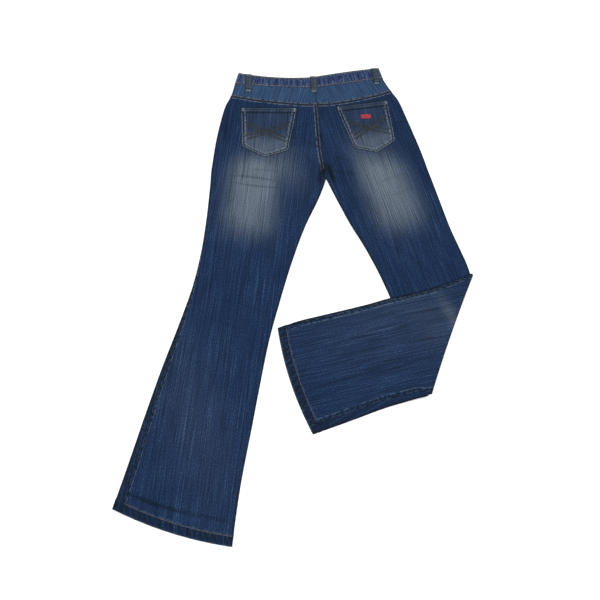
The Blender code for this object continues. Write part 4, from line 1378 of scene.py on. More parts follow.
@dataclass
class LegPanels:
    """The four leg panels, each cut in one piece from the waist to its turned hem."""

    columns: int = 46
    settle_run: float = 1.5
    inseam_end: float = 0.6
    hem_shade: Tuple[float, float] = (17.5, 0.5)

    def laid(self, leg: Leg, places: Array, layer: Layer, walls: Array, settle: float = 0.0) -> Array:
        """Middle points of a panel that lies flat.

        Args:
            leg: The leg.
            places: Places down it.
            layer: Which panel.
            walls: Thickness at each place, which lifts the layers off each other at a hem.
            settle: Place past which the lower layer comes down to the floor, or 0.

        Returns:
            The grid of points.
        """
        rows = leg.rows(places, layer, centre_dip(places, layer), self.columns)
        lift = np.full(len(places), UNDERSIDE_LIFT)
        if settle:
            lift = lift * (1 - ease((places - settle) / self.settle_run))
        height = REST + rows.base[:, None] + lift[:, None] * (1 - rows.share) + rows.share * rows.loft
        height += (walls - WALL)[:, None] * (0.5 + rows.share)
        return raised(rows.plan, height)

    def turned(self, layer: Layer) -> Array:
        """Rows that go round the knee fold."""
        angles = math.pi * np.arange(1, FOLD_STEPS) / FOLD_STEPS
        bare = Leg(SHIN_SECTIONS, (), corner=0)
        rows = bare.rows(np.zeros(len(angles)), layer, None, self.columns)
        out = fold_line()[1]
        radius = FOLD_RADIUS - rows.share * rows.loft
        plan = rows.plan + out * (radius * np.sin(angles)[:, None])[..., None]
        height = FOLD_HEIGHT - radius * np.cos(angles)[:, None]
        return raised(plan, height)

    def folded(self, places: Array, layer: Layer, walls: Array) -> Array:
        """Rows of the folded shin, which lies on the thigh and then on the floor."""
        rows = RIGHT_SHIN.rows(places, layer, None, self.columns)
        start, out = fold_line()
        away = -((rows.plan - start) @ out)
        edge = unit(THIGH_EDGE[1] - THIGH_EDGE[0])
        beyond = (rows.plan - THIGH_EDGE[0]) @ np.array((edge[1], -edge[0]))
        rest = lerp(SHIN_ON_THIGH, REST + UNDERSIDE_LIFT, ease((beyond - DROP_START) / DROP_RUN))
        lower = lerp(FOLD_HEIGHT + FOLD_RADIUS - rows.loft, rest, ease(away / FOLD_SETTLE))
        height = lower + (1 - rows.share) * rows.loft + (walls - WALL)[:, None] * (1.5 - rows.share)
        return raised(rows.plan, height)

    def left(self, layer: Layer, first: float) -> Cloth:
        """Left leg's panel."""
        places = LEFT_LEG.places(first, len(LEFT_SECTIONS) - 1)
        walls = hem_walls(places, LEFT_LEG)
        points = self.laid(LEFT_LEG, places, layer, walls)
        return self.panel(points, walls, 1 if layer is Layer.BACK else -1, places)

    def right(self, layer: Layer, first: float) -> Cloth:
        """Right leg's panel, thigh, fold and shin."""
        last = len(THIGH_SECTIONS) - 1
        places = RIGHT_THIGH.places(first, last)
        thin = np.full(len(places), WALL)
        thigh = self.laid(RIGHT_THIGH, places, layer, thin, last - self.settle_run)
        down = RIGHT_SHIN.places(0, len(SHIN_SECTIONS) - 1, False)
        walls = hem_walls(down, RIGHT_SHIN)
        points = np.concatenate([thigh, self.turned(layer), self.folded(down, layer, walls)])
        walls = np.concatenate([np.full(len(places) + FOLD_STEPS - 1, WALL), walls])
        cloth = self.panel(points, walls, -1 if layer is Layer.BACK else 1, places)
        cloth.shin_from = len(places)
        return cloth

    def panel(self, points: Array, walls: Array, outward: int, places: Array) -> Cloth:
        """Cloth of a panel, pulled back by half a seam's gap at its first row."""
        points[0] += unit(points[1] - points[0]) * HALF_GAP
        thick = np.repeat(walls[:, None], points.shape[1], axis=1)
        return Cloth(points, thick, outward, places=places)

    def cut(self, cloth: Cloth, angle: float, shift: float) -> None:
        """Run the warp straight down the panel, also past the knee fold, as it was cut.

        Args:
            cloth: The panel.
            angle: The warp's angle from straight down, towards +X.
            shift: Place of the panel in the cloth that it was cut from.
        """
        plan = cloth.points[..., :2].copy()
        if cloth.shin_from:
            start, out = fold_line()
            away = (plan - start) @ out
            mirrored = plan - 2 * away[..., None] * out
            plan[cloth.shin_from:] = mirrored[cloth.shin_from:]
        cloth.grain = warp_grain(plan, angle, shift)

    def build(self) -> Dict[str, Cloth]:
        """Make the four panels.

        Returns:
            The panels' grids by name.
        """
        below_yoke = Seam(Edge.TOP, 8.5, 0.5, 0.2, 9.0, 0.8, (2.2, 7.6))
        hem = Seam(Edge.BOTTOM, 20, 0.15, 0.25, 13.0, 0.36, (18.2,))
        inseam = Seam(Edge.INNER, 9.0, 0.45, 0.28, 10.0, 0.8, (2.0, 8.0))

        back_left = self.left(Layer.BACK, YOKE_SEAM)
        above = 1 - ease((back_left.places - CROTCH) / self.inseam_end)
        self.cut(back_left, -7.5, 0.0)
        back_left.wear(LEFT_FADES, LEFT_CREASES)
        back_left.sew((below_yoke, hem, Seam(Edge.OUTER, 4, 0.5, 0.25, 12.0, 0.75)))
        back_left.sew((inseam,), {Edge.INNER: above[:, None]})
        back_left.darken(Edge.BOTTOM, *self.hem_shade)

        back_right = self.right(Layer.BACK, YOKE_SEAM)
        self.cut(back_right, 14.5, 300.0)
        back_right.wear(THIGH_FADES, THIGH_CREASES)
        back_right.masks["shade"][back_right.shin_from:] += 0.4
        back_right.sew((below_yoke, Seam(Edge.OUTER, 4, 0.4, 0.2, 12.0, 0.4)))

        front_left = self.left(Layer.FRONT, BAND_SEAM)
        self.cut(front_left, -7.5, 600.0)
        front_left.wear(())
        low = ease((front_left.places - CROTCH) / 6)[:, None]
        blotch = 0.7 + 0.3 * wobble(front_left.edges[Edge.OUTER][1], 23.0)
        facing = np.clip(front_left.normals()[..., 2], 0, 1)
        front_left.masks["shade"] += 0.46 * low * blotch * facing
        front_left.sew((
            Seam(Edge.OUTER, 5, 0.4, 0.2, 12.0, 0.4),
            Seam(Edge.BOTTOM, 20, 0.0, 0.0, 13.0, 0.36),
        ))

        front_right = self.right(Layer.FRONT, BAND_SEAM)
        self.cut(front_right, 29.0, 900.0)
        front_right.wear(SHIN_FADES, SHIN_CREASES)
        front_right.sew((
            hem,
            Seam(Edge.OUTER, 8, 0.4, 0.3, 12.0, 0.66),
            Seam(Edge.INNER, 8, 0.4, 0.3, 11.0, 0.64),
        ))
        front_right.darken(Edge.BOTTOM, *self.hem_shade)
        return {"back_left": back_left, "back_right": back_right,
                "front_left": front_left, "front_right": front_right}


def denser_ends(count: int) -> Array:
    """Shares from 0 to 1, closer together towards both ends."""
    bias = np.linspace(-1, 1, count)
    return 0.5 + 0.5 * bias * (0.75 + 0.25 * (2 - np.abs(bias)))


# A pocket's design: places of its rows beside a band's middle, and the two bands' ends, as
# shares of the pocket's width and height.
DESIGN_ROWS = (-0.056, -0.044, -0.032, 0.032, 0.044, 0.056)
DESIGN_BANDS = (((0.09, 0.38), (0.91, 0.74)), ((0.91, 0.38), (0.09, 0.74)))


@dataclass
class Pocket:
    """Patch pocket: five corners, a hemmed mouth, and turned edges sewn down with two rows."""

    name: str
    top_left: Tuple[float, float]
    top_right: Tuple[float, float]
    low_right: Tuple[float, float]
    tip: Tuple[float, float]
    low_left: Tuple[float, float]
    columns: int = 56
    rows: int = 58
    turned: float = 10.0
    hem: float = 13.0

    def plan(self, u: Array, v: Array) -> Array:
        """Plan points of the pocket, u across from the left and v down from the mouth."""
        corners = (self.top_left, self.top_right, self.low_left, self.tip, self.low_right)
        top_left, top_right, low_left, tip, low_right = np.array(corners, float)
        top = lerp(top_left, top_right, u[..., None])
        left = lerp(low_left, tip, np.clip(u * 2, 0, 1)[..., None])
        right = lerp(tip, low_right, np.clip(u * 2 - 1, 0, 1)[..., None])
        low = np.where((u < 0.5)[..., None], left, right)
        return lerp(top, low, v[..., None])

    def cloth(self, ground: Ground) -> Cloth:
        """Lay the pocket on the panel.

        Args:
            ground: The panel under it.

        Returns:
            Its grid.
        """
        grid_u, grid_v = np.meshgrid(denser_ends(self.columns), denser_ends(self.rows))
        plan = self.plan(grid_u, grid_v)
        under = np.array([[ground.hit(x, y)[0] for x, y in row] for row in plan])
        flat = raised(plan, under)
        across, down = running(flat, 1), running(flat, 0)
        off = np.minimum(np.minimum(across, across[:, -1:] - across), down[-1:] - down)
        mouth = 1 - ease((down - self.hem) / 2.0)
        border = 1 - ease((off - self.turned) / 2.2)
        walls = 1.25 + 0.75 * np.maximum(mouth, border)
        flat[..., 2] += GAP + 0.1 + walls / 2
        made = Cloth(flat, walls, 1)
        sewn = (Edge.OUTER, Edge.INNER, Edge.BOTTOM)
        made.sew(tuple(Seam(edge, self.turned, 0.0, 0.22, 8.0, 0.86) for edge in sewn))
        made.masks["fade"] = 0.5 * ease((grid_v - 0.48) / 0.34) * (1 - 0.5 * np.abs(grid_u - 0.5) ** 2 * 4)
        # Painted shadows along the pocket's outline, under the mouth's hem and at its top edge, and darker
        # blotches in the mouth's hem itself.
        rim = np.minimum(off, 2.0 * down + 0.5)
        below_hem = np.exp(-((down - self.hem - 1.6) / 2.2) ** 2)
        at_top = np.exp(-(down / 1.6) ** 2)
        shade = 0.95 * below_hem + 0.9 * np.exp(-(rim / 1.0) ** 2) + 0.8 * at_top
        made.masks["shade"] = shade + 0.3 * mouth * wobble(across, 31.0)
        return made

    def sew(self, cloth: Cloth, thread: Sewing, mouth: Sewing, cord: Sewing, ground: Ground) -> None:
        """Sew the pocket's rows, its bartacks and its plain crossing design.

        Args:
            cloth: The pocket's grid.
            thread: Topstitching.
            mouth: Thread of the mouth's hem.
            cord: Thick thread.
            ground: The pocket's own surface.
        """
        for offset in (1.8, 8.0):
            for edge in (Edge.OUTER, Edge.INNER):
                thread.row(*cloth.line(edge, offset, (0.5, offset)))
            thread.row(*cloth.line(Edge.BOTTOM, offset, (offset, offset)))
        for offset in (3.0, 9.4):
            mouth.row(*cloth.line(Edge.TOP, offset, (1.0, 1.0)))
        for u in (0.035, 0.965):
            centre, normal = ground.path(self.plan(np.array((u, u)), np.array((0.02, 0.09))))
            along = unit(centre[-1] - centre[0])
            thread.bartack(centre.mean(axis=0), along, unit(normal.mean(axis=0)), 9.0, 3.0)
        for shift in DESIGN_ROWS:
            for start, end in DESIGN_BANDS:
                u = np.array((start[0], end[0]))
                v = np.array((start[1] + shift, end[1] + shift))
                cord.row(*ground.path(self.plan(u, v)))


POCKETS = (
    Pocket("pocket_left", (-200, 193), (-63, 196), (-88, 74), (-143, 54), (-198, 82)),
    Pocket("pocket_right", (34, 203), (165, 226), (175, 108), (127, 74), (72, 84)),
)


@dataclass
class Waistband:
    """One strip round the waist, folded double, with its ends lapped at the centre front."""

    across: int = 14
    pitch: float = 3.4
    lap_over: float = 18.0
    lap_under: float = 22.0
    lap_rise: Tuple[float, float] = (20.0, 34.0)
    lap_centre: float = 0.5

    def stations(self) -> List[Tuple[Array, Array, float, float]]:
        """Stations along the strip: its two edges in plan, its height and its inward shift."""
        low = LEFT_SECTIONS[BAND_TOP].base + BAND_WALL / 2
        loft = LEFT_SECTIONS[BAND_TOP].loft
        high, radius = low + loft, loft / 2
        under = low + BAND_WALL + GAP
        made: List[Tuple[Array, Array, float, float]] = []

        def put(leg: Leg, u: float, front: bool, height: float, inward: float = 0.0) -> None:
            """Add a station."""
            top = leg.span(BAND_TOP, u, front)[0]
            seam = leg.span(BAND_SEAM, u, front)[0]
            made.append((top, seam, height, inward))

        def width(leg: Leg) -> float:
            """Width of one quarter of the waist."""
            return abs(leg.sections[BAND_SEAM].outer_x - leg.sections[BAND_SEAM].inner_x)

        def side(leg: Leg, front: bool, start: float, end: float, height: float) -> None:
            """Add the stations along one quarter of the waist."""
            for u in np.linspace(start, end, max(int(abs(end - start) * width(leg) / self.pitch), 2)):
                put(leg, u, front, height)

        def turn(leg: Leg, sense: int) -> None:
            """Add the stations round one side."""
            for angle in np.linspace(-90, 90, 11):
                swing = math.radians(angle) * sense
                put(leg, 0, False, low + radius + radius * math.sin(swing), radius * (1 - math.cos(swing)))

        left_span, right_span = width(LEFT_LEG), width(RIGHT_THIGH)
        for past in np.arange(self.lap_over, self.lap_centre, -self.pitch):
            put(RIGHT_THIGH, 1 - past / right_span, True, low)
        side(LEFT_LEG, True, 0.995, 0.03, low)
        turn(LEFT_LEG, 1)
        side(LEFT_LEG, False, 0.03, 0.985, high)
        side(RIGHT_THIGH, False, 1.0, 0.03, high)
        turn(RIGHT_THIGH, -1)
        side(RIGHT_THIGH, True, 0.03, 1 - (self.lap_rise[1] + 4) / right_span, low)
        for t in np.linspace(0, 1, 7):
            past = lerp(self.lap_rise[1], self.lap_rise[0], t)
            put(RIGHT_THIGH, 1 - past / right_span, True, lerp(low, under, ease(t)))
        for past in np.arange(self.lap_rise[0] - self.pitch, self.lap_centre, -self.pitch):
            put(RIGHT_THIGH, 1 - past / right_span, True, under)
        for past in np.arange(self.lap_centre, self.lap_under, self.pitch):
            put(LEFT_LEG, 1 - past / left_span, True, under)
        return made

    def cloth(self) -> Cloth:
        """The strip's grid, a little fuller between its two sewn edges."""
        centre_x = LEFT_SECTIONS[BAND_SEAM].inner_x
        rows = []
        shares = 0.5 - 0.5 * np.cos(np.linspace(0, math.pi, self.across))
        for top, seam, height, inward in self.stations():
            shift = np.array((inward if top[0] < centre_x else -inward, 0.0))
            low = seam + unit(top - seam) * HALF_GAP
            plan = lerp(top, low, shares[:, None]) + shift
            rows.append(raised(plan, height))
        points = np.array(rows)
        made = Cloth(points, np.full(points.shape[:2], BAND_WALL), 1)
        facing = np.median(made.normals()[len(rows) // 3: len(rows) // 2, :, 2])
        made.outward = 1 if facing > 0 else -1
        off = np.minimum(*(made.edges[e][0] for e in (Edge.OUTER, Edge.INNER)))
        run = np.repeat(made.edges[Edge.OUTER][1].mean(axis=1, keepdims=True), self.across, axis=1)
        swell = np.sin(np.clip(off / 16.0, 0, 1) * math.pi / 2) * (0.35 + 0.25 * wobble(run, 23.0))
        pucker = 0.25 * (wobble(run + 0.5 * off, 9.0) - 0.5) * np.exp(-(off - 5) ** 2 / 20)
        made.walls = BAND_WALL - 0.5 + swell + pucker
        made.grain = np.stack([run, made.edges[Edge.OUTER][0] * 1.6], axis=-1)
        made.masks["seam_at"] = off / 7.0
        made.masks["seam_beat"] = beats(run, 9.0)
        made.masks["seam_wear"] = np.full(run.shape, 0.5)
        # Painted shade along the band's top edge.
        made.masks["shade"] = 0.95 * np.exp(-(made.edges[Edge.OUTER][0] / 1.9) ** 2)
        return made


@dataclass
class BeltLoop:
    """Belt loop: a folded strip bartacked at both ends, bowed off the band between them."""

    name: str
    high: Tuple[float, float]
    low: Tuple[float, float]
    width: float = 15.0
    bow: float = 1.6
    wall: float = 1.2
    across: int = 15
    along: int = 34

    def cloth(self, ground: Optional[Ground]) -> Cloth:
        """The loop's grid, laid over the band, or flat on the floor under it.

        Args:
            ground: What the loop lies on, or nothing for the floor.

        Returns:
            Its grid.
        """
        high, low = np.array(self.high, float), np.array(self.low, float)
        down = unit(low - high)
        side = np.array((-down[1], down[0]))
        share = np.linspace(-1, 1, self.across)
        rows = []
        for t in np.linspace(0, 1, self.along):
            plan = lerp(high, low, t) + side * share[:, None] * self.width / 2
            height = self.wall / 2
            if ground is not None:
                under = max(ground.hit(x, y)[0] for x, y in plan[::3])
                height = under + GAP + 0.1 + height + self.bow * math.sin(math.pi * t)
            rows.append(raised(plan, height))
        points = np.array(rows)
        if ground is not None:
            smooth = points[..., 2].copy()
            smooth[1:-1] = (points[:-2, :, 2] + 2 * points[1:-1, :, 2] + points[2:, :, 2]) / 4
            points[..., 2] = np.maximum(smooth, points[..., 2] - 0.3)
        rib = 0.22 * np.exp(-((np.abs(share) - 0.62) / 0.12) ** 2)
        walls = np.tile(self.wall + 0.3 - rib * 1.6, (self.along, 1))
        if ground is None:
            walls = np.full((self.along, self.across), self.wall)
        made = Cloth(points, walls, 1)
        if np.median(made.normals()[..., 2]) < 0:
            made.outward = -1
        run = made.edges[Edge.TOP][0]
        ends = np.exp(-(np.minimum(run, run[-1:] - run) / 5.0) ** 2)
        made.masks["fade"] = 0.1 + 0.3 * ends
        # Painted shade along both sides of the loop, and a darker line down its middle.
        dark = 0.6 * np.exp(-(share / 0.16) ** 2) + 0.85 * np.exp(-((1 - np.abs(share)) / 0.15) ** 2)
        made.masks["shade"] = dark * np.ones((self.along, 1))
        made.masks["seam_beat"] = beats(run, 7.0)
        made.masks["seam_at"] = (1 - np.abs(share)) * np.ones((self.along, 1)) * 1.2
        made.masks["seam_wear"] = np.full(run.shape, 0.6)
        return made

    def sew(self, cloth: Cloth, thread: Sewing) -> None:
        """Sew the loop's bartacks across both ends."""
        for edge in (Edge.TOP, Edge.BOTTOM):
            path, normals = cloth.line(edge, 3.0, (1.0, 1.0))
            middle = path.mean(axis=0)
            thread.bartack(middle, unit(path[-1] - path[0]), unit(normals.mean(axis=0)), 12.0, 2.6)


BACK_LOOPS = (
    BeltLoop("belt_loop_left", (-181, 293), (-182, 239)),
    BeltLoop("belt_loop_centre", (-19, 292.5), (-19, 244)),
    BeltLoop("belt_loop_right", (137, 326.5), (143, 274)),
)
FRONT_LOOPS = (
    BeltLoop("belt_loop_front_left", (-128, 281), (-131, 228)),
    BeltLoop("belt_loop_front_right", (68, 304), (75, 246)),
)


@dataclass
class Yoke:
    """Back yoke between the waistband and a back panel."""

    name: str
    leg: Leg
    lean: float
    columns: int = 46

    def cloth(self) -> Cloth:
        """The yoke's grid."""
        found = self.leg.stations(np.array((float(BAND_SEAM), float(YOKE_SEAM))))
        length = float(np.linalg.norm(np.diff((found["outer"] + found["inner"]) / 2, axis=0)))
        places = BAND_SEAM + np.linspace(0, 1, int(length / 1.8))
        rows = self.leg.rows(places, Layer.BACK, None, self.columns)
        height = REST + rows.base[:, None] + UNDERSIDE_LIFT * (1 - rows.share) + rows.share * rows.loft
        points = raised(rows.plan, height)
        points[0] += unit(points[1] - points[0]) * HALF_GAP
        points[-1] += unit(points[-2] - points[-1]) * HALF_GAP
        grain = warp_grain(rows.plan, self.lean, 1300.0)
        made = Cloth(points, np.full(points.shape[:2], WALL), self.leg.hand, grain)
        made.wear(())
        made.sew((Seam(Edge.TOP, 3.0, -0.1, 0.15, 9.0, 0.5), Seam(Edge.BOTTOM, 2.5, 0.2, 0.15, 9.0, 0.9)))
        return made


YOKES = (Yoke("yoke_left", LEFT_LEG, -17), Yoke("yoke_right", RIGHT_THIGH, 25))


@dataclass
class InnerPieces:
    """Scoop facings, fly shield, zip and its tape, all inside the fly or the front."""

    facing_grid: Tuple[int, int] = (40, 24)
    facing_reach: Tuple[float, float] = (4.2, 15.0)
    strip_grid: Tuple[int, int] = (60, 12)
    tooth: Tuple[float, float, float] = (3.0, 1.1, 0.7)
    tooth_pitch: float = 1.5
    tooth_shift: float = 1.1

    def facing(self, leg: Leg) -> Cloth:
        """Facing behind a scoop pocket's mouth."""
        rows = []
        count, across = self.facing_grid
        for place in np.linspace(1.06, 3.8, count):
            at = leg.stations(np.array([place]))
            width = float(np.linalg.norm(at["inner"] - at["outer"]))
            far = float(at["scoop"][0]) + self.facing_reach[1]
            inward = np.linspace(self.facing_reach[0], far, across)
            plan = leg.span(place, inward / width, True)
            height = REST + float(at["base"][0]) + WALL + GAP + 0.1
            rows.append(raised(plan, height))
        return Cloth(np.array(rows), np.full(self.facing_grid, WALL - 0.1), -leg.hand)

    def strip(self, span: Tuple[float, float], stops: Sequence[Tuple[float, float]], wall: float) -> Cloth:
        """Strip down the centre front.

        Args:
            span: How far it reaches to each side of the centre.
            stops: Places down the leg and heights over the front panels.
            wall: Its thickness.

        Returns:
            Its grid.
        """
        count, across = self.strip_grid
        places = np.linspace(stops[0][0], stops[-1][0], count)
        lifts = np.interp(places, [s[0] for s in stops], [s[1] for s in stops])
        rows = []
        for place, lift in zip(places, lifts):
            at = LEFT_LEG.stations(np.array([place]))
            centre = at["inner"][0]
            dip = FRONT_DIP * (1 - ease(place - BAND_SEAM))
            height = REST + float(at["base"][0]) + lift
            x = centre[0] + np.linspace(*span, across)
            rows.append(np.stack([x, np.full(across, centre[1] - dip), np.full(across, height)], axis=1))
        return Cloth(np.array(rows), np.full(self.strip_grid, wall), 1)

    def teeth(self, tape: Cloth) -> bpy.types.Mesh:
        """Zip teeth in two interlocked rows along the tape's middle."""
        path, up = tape.line(Edge.OUTER, 13.0, (6.0, 4.0))
        path = path - up * (float(tape.walls[0, 0]) + 0.5)
        run = running(path, 0)
        at = np.arange(0, run[-1], self.tooth_pitch)
        long, wide, tall = self.tooth
        bm = bmesh.new()
        for k, distance in enumerate(at):
            place = sample(distance, run, path)
            shift = self.tooth_shift if k % 2 else -self.tooth_shift
            for vert in bmesh.ops.create_cube(bm, size=1.0)["verts"]:
                pinch = 0.7 if vert.co.x * shift < 0 else 1.0
                vert.co = Vector(((vert.co.x * long + shift + place[0] + CROTCH_AT[0]) * MM,
                                  (vert.co.y * wide * pinch + place[1] + CROTCH_AT[1]) * MM,
                                  (vert.co.z * tall * pinch + place[2]) * MM))
        mesh = bpy.data.meshes.new("zip_teeth")
        bm.to_mesh(mesh)
        bm.free()
        return mesh


@dataclass
class Hardware:
    """Waist button and zip slider, antique brass castings."""

    brass: bpy.types.Material

    def select(self, piece: bpy.types.Object) -> None:
        """Make a piece the active one, and the only one selected."""
        bpy.ops.object.select_all(action="DESELECT")
        piece.select_set(True)
        bpy.context.view_layer.objects.active = piece

    def inset(self, piece: bpy.types.Object, sense: int, steps: Sequence[Tuple[float, float]]) -> None:
        """Step a piece's upper or under face inwards.

        Args:
            piece: The piece.
            sense: 1 for its upper face and -1 for its under face.
            steps: Width and depth of each step.
        """
        for face in piece.data.polygons:
            face.select = face.normal.z * sense > 0.9 and face.center.z * sense > 0
        for edge in piece.data.edges:
            edge.select = False
        bpy.ops.object.mode_set(mode="EDIT")
        bpy.ops.mesh.select_mode(type="FACE")
        for width, depth in steps:
            bpy.ops.mesh.inset(thickness=width, depth=depth)
        bpy.ops.object.mode_set(mode="OBJECT")

    def cast(self, piece: bpy.types.Object, node: str, centre: Vector, rounding: float,
             segments: int) -> None:
        """Round a casting's edges, put it in its node's place and give it its plating.

        Args:
            piece: The casting.
            node: The CAD node that it stands for.
            centre: Where its middle lies.
            rounding: Width of its rounded edges.
            segments: Steps round them.
        """
        bevel = piece.modifiers.new("rounded_edges", "BEVEL")
        bevel.width = rounding
        bevel.segments = segments
        bevel.limit_method = "ANGLE"
        bpy.ops.object.modifier_apply(modifier=bevel.name)
        bpy.ops.object.shade_smooth_by_angle(angle=math.radians(40))
        piece.location = centre
        self.select(piece)
        bpy.ops.object.transform_apply(location=True, rotation=True, scale=True)
        piece.data.materials.clear()
        piece.data.materials.append(self.brass)
        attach(piece, "root")
        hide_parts(node)
        LOG.info("%s: %d faces", piece.name, len(piece.data.polygons))

    def button(self) -> None:
        """Button cap: a disc with a rolled rim, a sunk ring and a raised middle."""
        low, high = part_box("fly_button")
        radius = (high.x - low.x) / 2
        bpy.ops.object.select_all(action="DESELECT")
        depth = high.z - low.z
        bpy.ops.mesh.primitive_cylinder_add(vertices=48, radius=radius, depth=depth, location=(0, 0, 0))
        cap = bpy.context.active_object
        cap.name = "waist_button"
        self.select(cap)
        rings = ((0.16, 0), (0.06, -0.00025), (0.2, 0), (0.1, 0.0002))
        self.inset(cap, -1, [(radius * share, depth) for share, depth in rings])
        self.cast(cap, "fly_button", (low + high) / 2, 0.00025, 3)

    def slider(self) -> None:
        """Zip slider: a waisted body with a thin flat pull hanging from it."""
        low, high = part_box("zip_slider")
        size = high - low
        bpy.ops.object.select_all(action="DESELECT")
        bpy.ops.mesh.primitive_cube_add(size=1, location=(0, 0, 0))
        body = bpy.context.active_object
        body.name = "zip_slider_and_pull"
        body.scale = (size.x, size.y, size.z * 0.92)
        self.select(body)
        bpy.ops.object.transform_apply(location=True, rotation=True, scale=True)
        bpy.ops.object.mode_set(mode="EDIT")
        bpy.ops.mesh.select_all(action="SELECT")
        bpy.ops.mesh.subdivide(number_cuts=5)
        bpy.ops.object.mode_set(mode="OBJECT")
        for vert in body.data.vertices:
            share = vert.co.y / size.y + 0.5
            waist = 0.46 + 0.54 * abs(math.cos(math.pi * min(share * 1.25, 1.0)))
            vert.co.x *= max(waist, 0.5)
        self.inset(body, 1, [(size.x * 0.12, -0.00012)])
        self.cast(body, "zip_slider", (low + high) / 2, 0.00012, 2)


@dataclass(frozen=True)
class Lamp:
    """Soft studio light: place and aim in millimetres, side length in metres, and power."""

    name: str
    place: Tuple[float, float, float]
    aim: Tuple[float, float, float]
    size: float
    power: float


@dataclass
class Studio:
    """Pale floor, soft light, and the camera at the photograph's angle."""

    camera_at: Tuple[float, float, float] = (-223.0, -885.6, 1421.4)
    camera_right: Tuple[float, float, float] = (0.99527, -0.0365, 0.0900)
    camera_up: Tuple[float, float, float] = (0.0, 0.92676, 0.37566)
    lens: float = 42.1
    floor_size: float = 9.0
    floor_drop: float = 0.0002
    surround: float = 0.35
    lamps: Tuple[Lamp, ...] = (
        Lamp("key", (-600, -250, 2500), (0, -100, 0), 1.4, 61.0),
        Lamp("fill", (800, -500, 2500), (0, -200, 0), 2.2, 32.0),
    )

    def floor(self) -> bpy.types.Object:
        """Large pale sheet of paper, a hair under the cloth."""
        half, z = self.floor_size / 2, -self.floor_drop
        mesh = bpy.data.meshes.new("paper_floor")
        corners = [(-half, -half, z), (half, -half, z), (half, half, z), (-half, half, z)]
        mesh.from_pydata(corners, [], [(0, 1, 2, 3)])
        graph = Graph("white_paper")
        colour = graph.ramp(graph.noise(graph.place(), 3.0), ((0.0, "#f5f6f8"), (1.0, "#fafbfd")))
        mesh.materials.append(graph.finish(colour, {"Roughness": 0.9}))
        floor = bpy.data.objects.new("paper_floor", mesh)
        bpy.context.scene.collection.objects.link(floor)
        return floor

    def camera(self) -> bpy.types.Object:
        """Camera that frames the jeans as photographed."""
        right, up = Vector(self.camera_right).normalized(), Vector(self.camera_up)
        back = right.cross(up).normalized()
        up = back.cross(right).normalized()
        data = bpy.data.cameras.new("camera")
        data.lens = self.lens
        data.clip_start, data.clip_end = 0.05, 40.0
        camera = bpy.data.objects.new("camera", data)
        bpy.context.scene.collection.objects.link(camera)
        place = (np.array(self.camera_at) + CROTCH_AT) * MM
        camera.matrix_world = Matrix((
            (right.x, up.x, back.x, place[0]),
            (right.y, up.y, back.y, place[1]),
            (right.z, up.z, back.z, place[2]),
            (0, 0, 0, 1),
        ))
        bpy.context.scene.camera = camera
        return camera

    def light(self) -> None:
        """Soft boxes and an even white surround."""
        for lamp in self.lamps:
            data = bpy.data.lights.new(lamp.name, "AREA")
            data.shape = "SQUARE"
            data.size = lamp.size
            data.energy = lamp.power
            made = bpy.data.objects.new(lamp.name, data)
            bpy.context.scene.collection.objects.link(made)
            made.location = Vector(lamp.place) * MM
            aim = Vector(lamp.aim) * MM - made.location
            made.rotation_euler = aim.to_track_quat("-Z", "Y").to_euler()
        world = bpy.data.worlds.new("surround")
        world.use_nodes = True
        background = world.node_tree.nodes["Background"]
        background.inputs["Color"].default_value = (1, 1, 1, 1)
        background.inputs["Strength"].default_value = self.surround
        bpy.context.scene.world = world
        bpy.context.scene.view_settings.view_transform = "Standard"


TAB_AT = (107.0, 176.0)
TAB_SIZE = (25.0, 12.0)
TAB_ANGLE = 4.0
TAB_WALL = 0.8


def tab_cloth(ground: Ground) -> Cloth:
    """Grid of the small red tab, with its corners cut round."""
    turn = math.radians(TAB_ANGLE)
    along = np.array((math.cos(turn), math.sin(turn)))
    up = np.array((-along[1], along[0]))
    rows = []
    for v in np.linspace(0.5, -0.5, 12):
        half = 0.5 - 0.06 * max(abs(v) * 2 - 0.6, 0) ** 2 / 0.16
        u = np.linspace(-half, half, 22)[:, None]
        plan = np.array(TAB_AT) + along * TAB_SIZE[0] * u + up * TAB_SIZE[1] * v
        height = [ground.hit(x, y)[0] + GAP + 0.1 + TAB_WALL / 2 for x, y in plan]
        rows.append(raised(plan, height))
    points = np.array(rows)
    points[..., 2] = np.maximum(points[..., 2], np.median(points[..., 2]) - 0.2)
    return Cloth(points, np.full(points.shape[:2], TAB_WALL), 1)


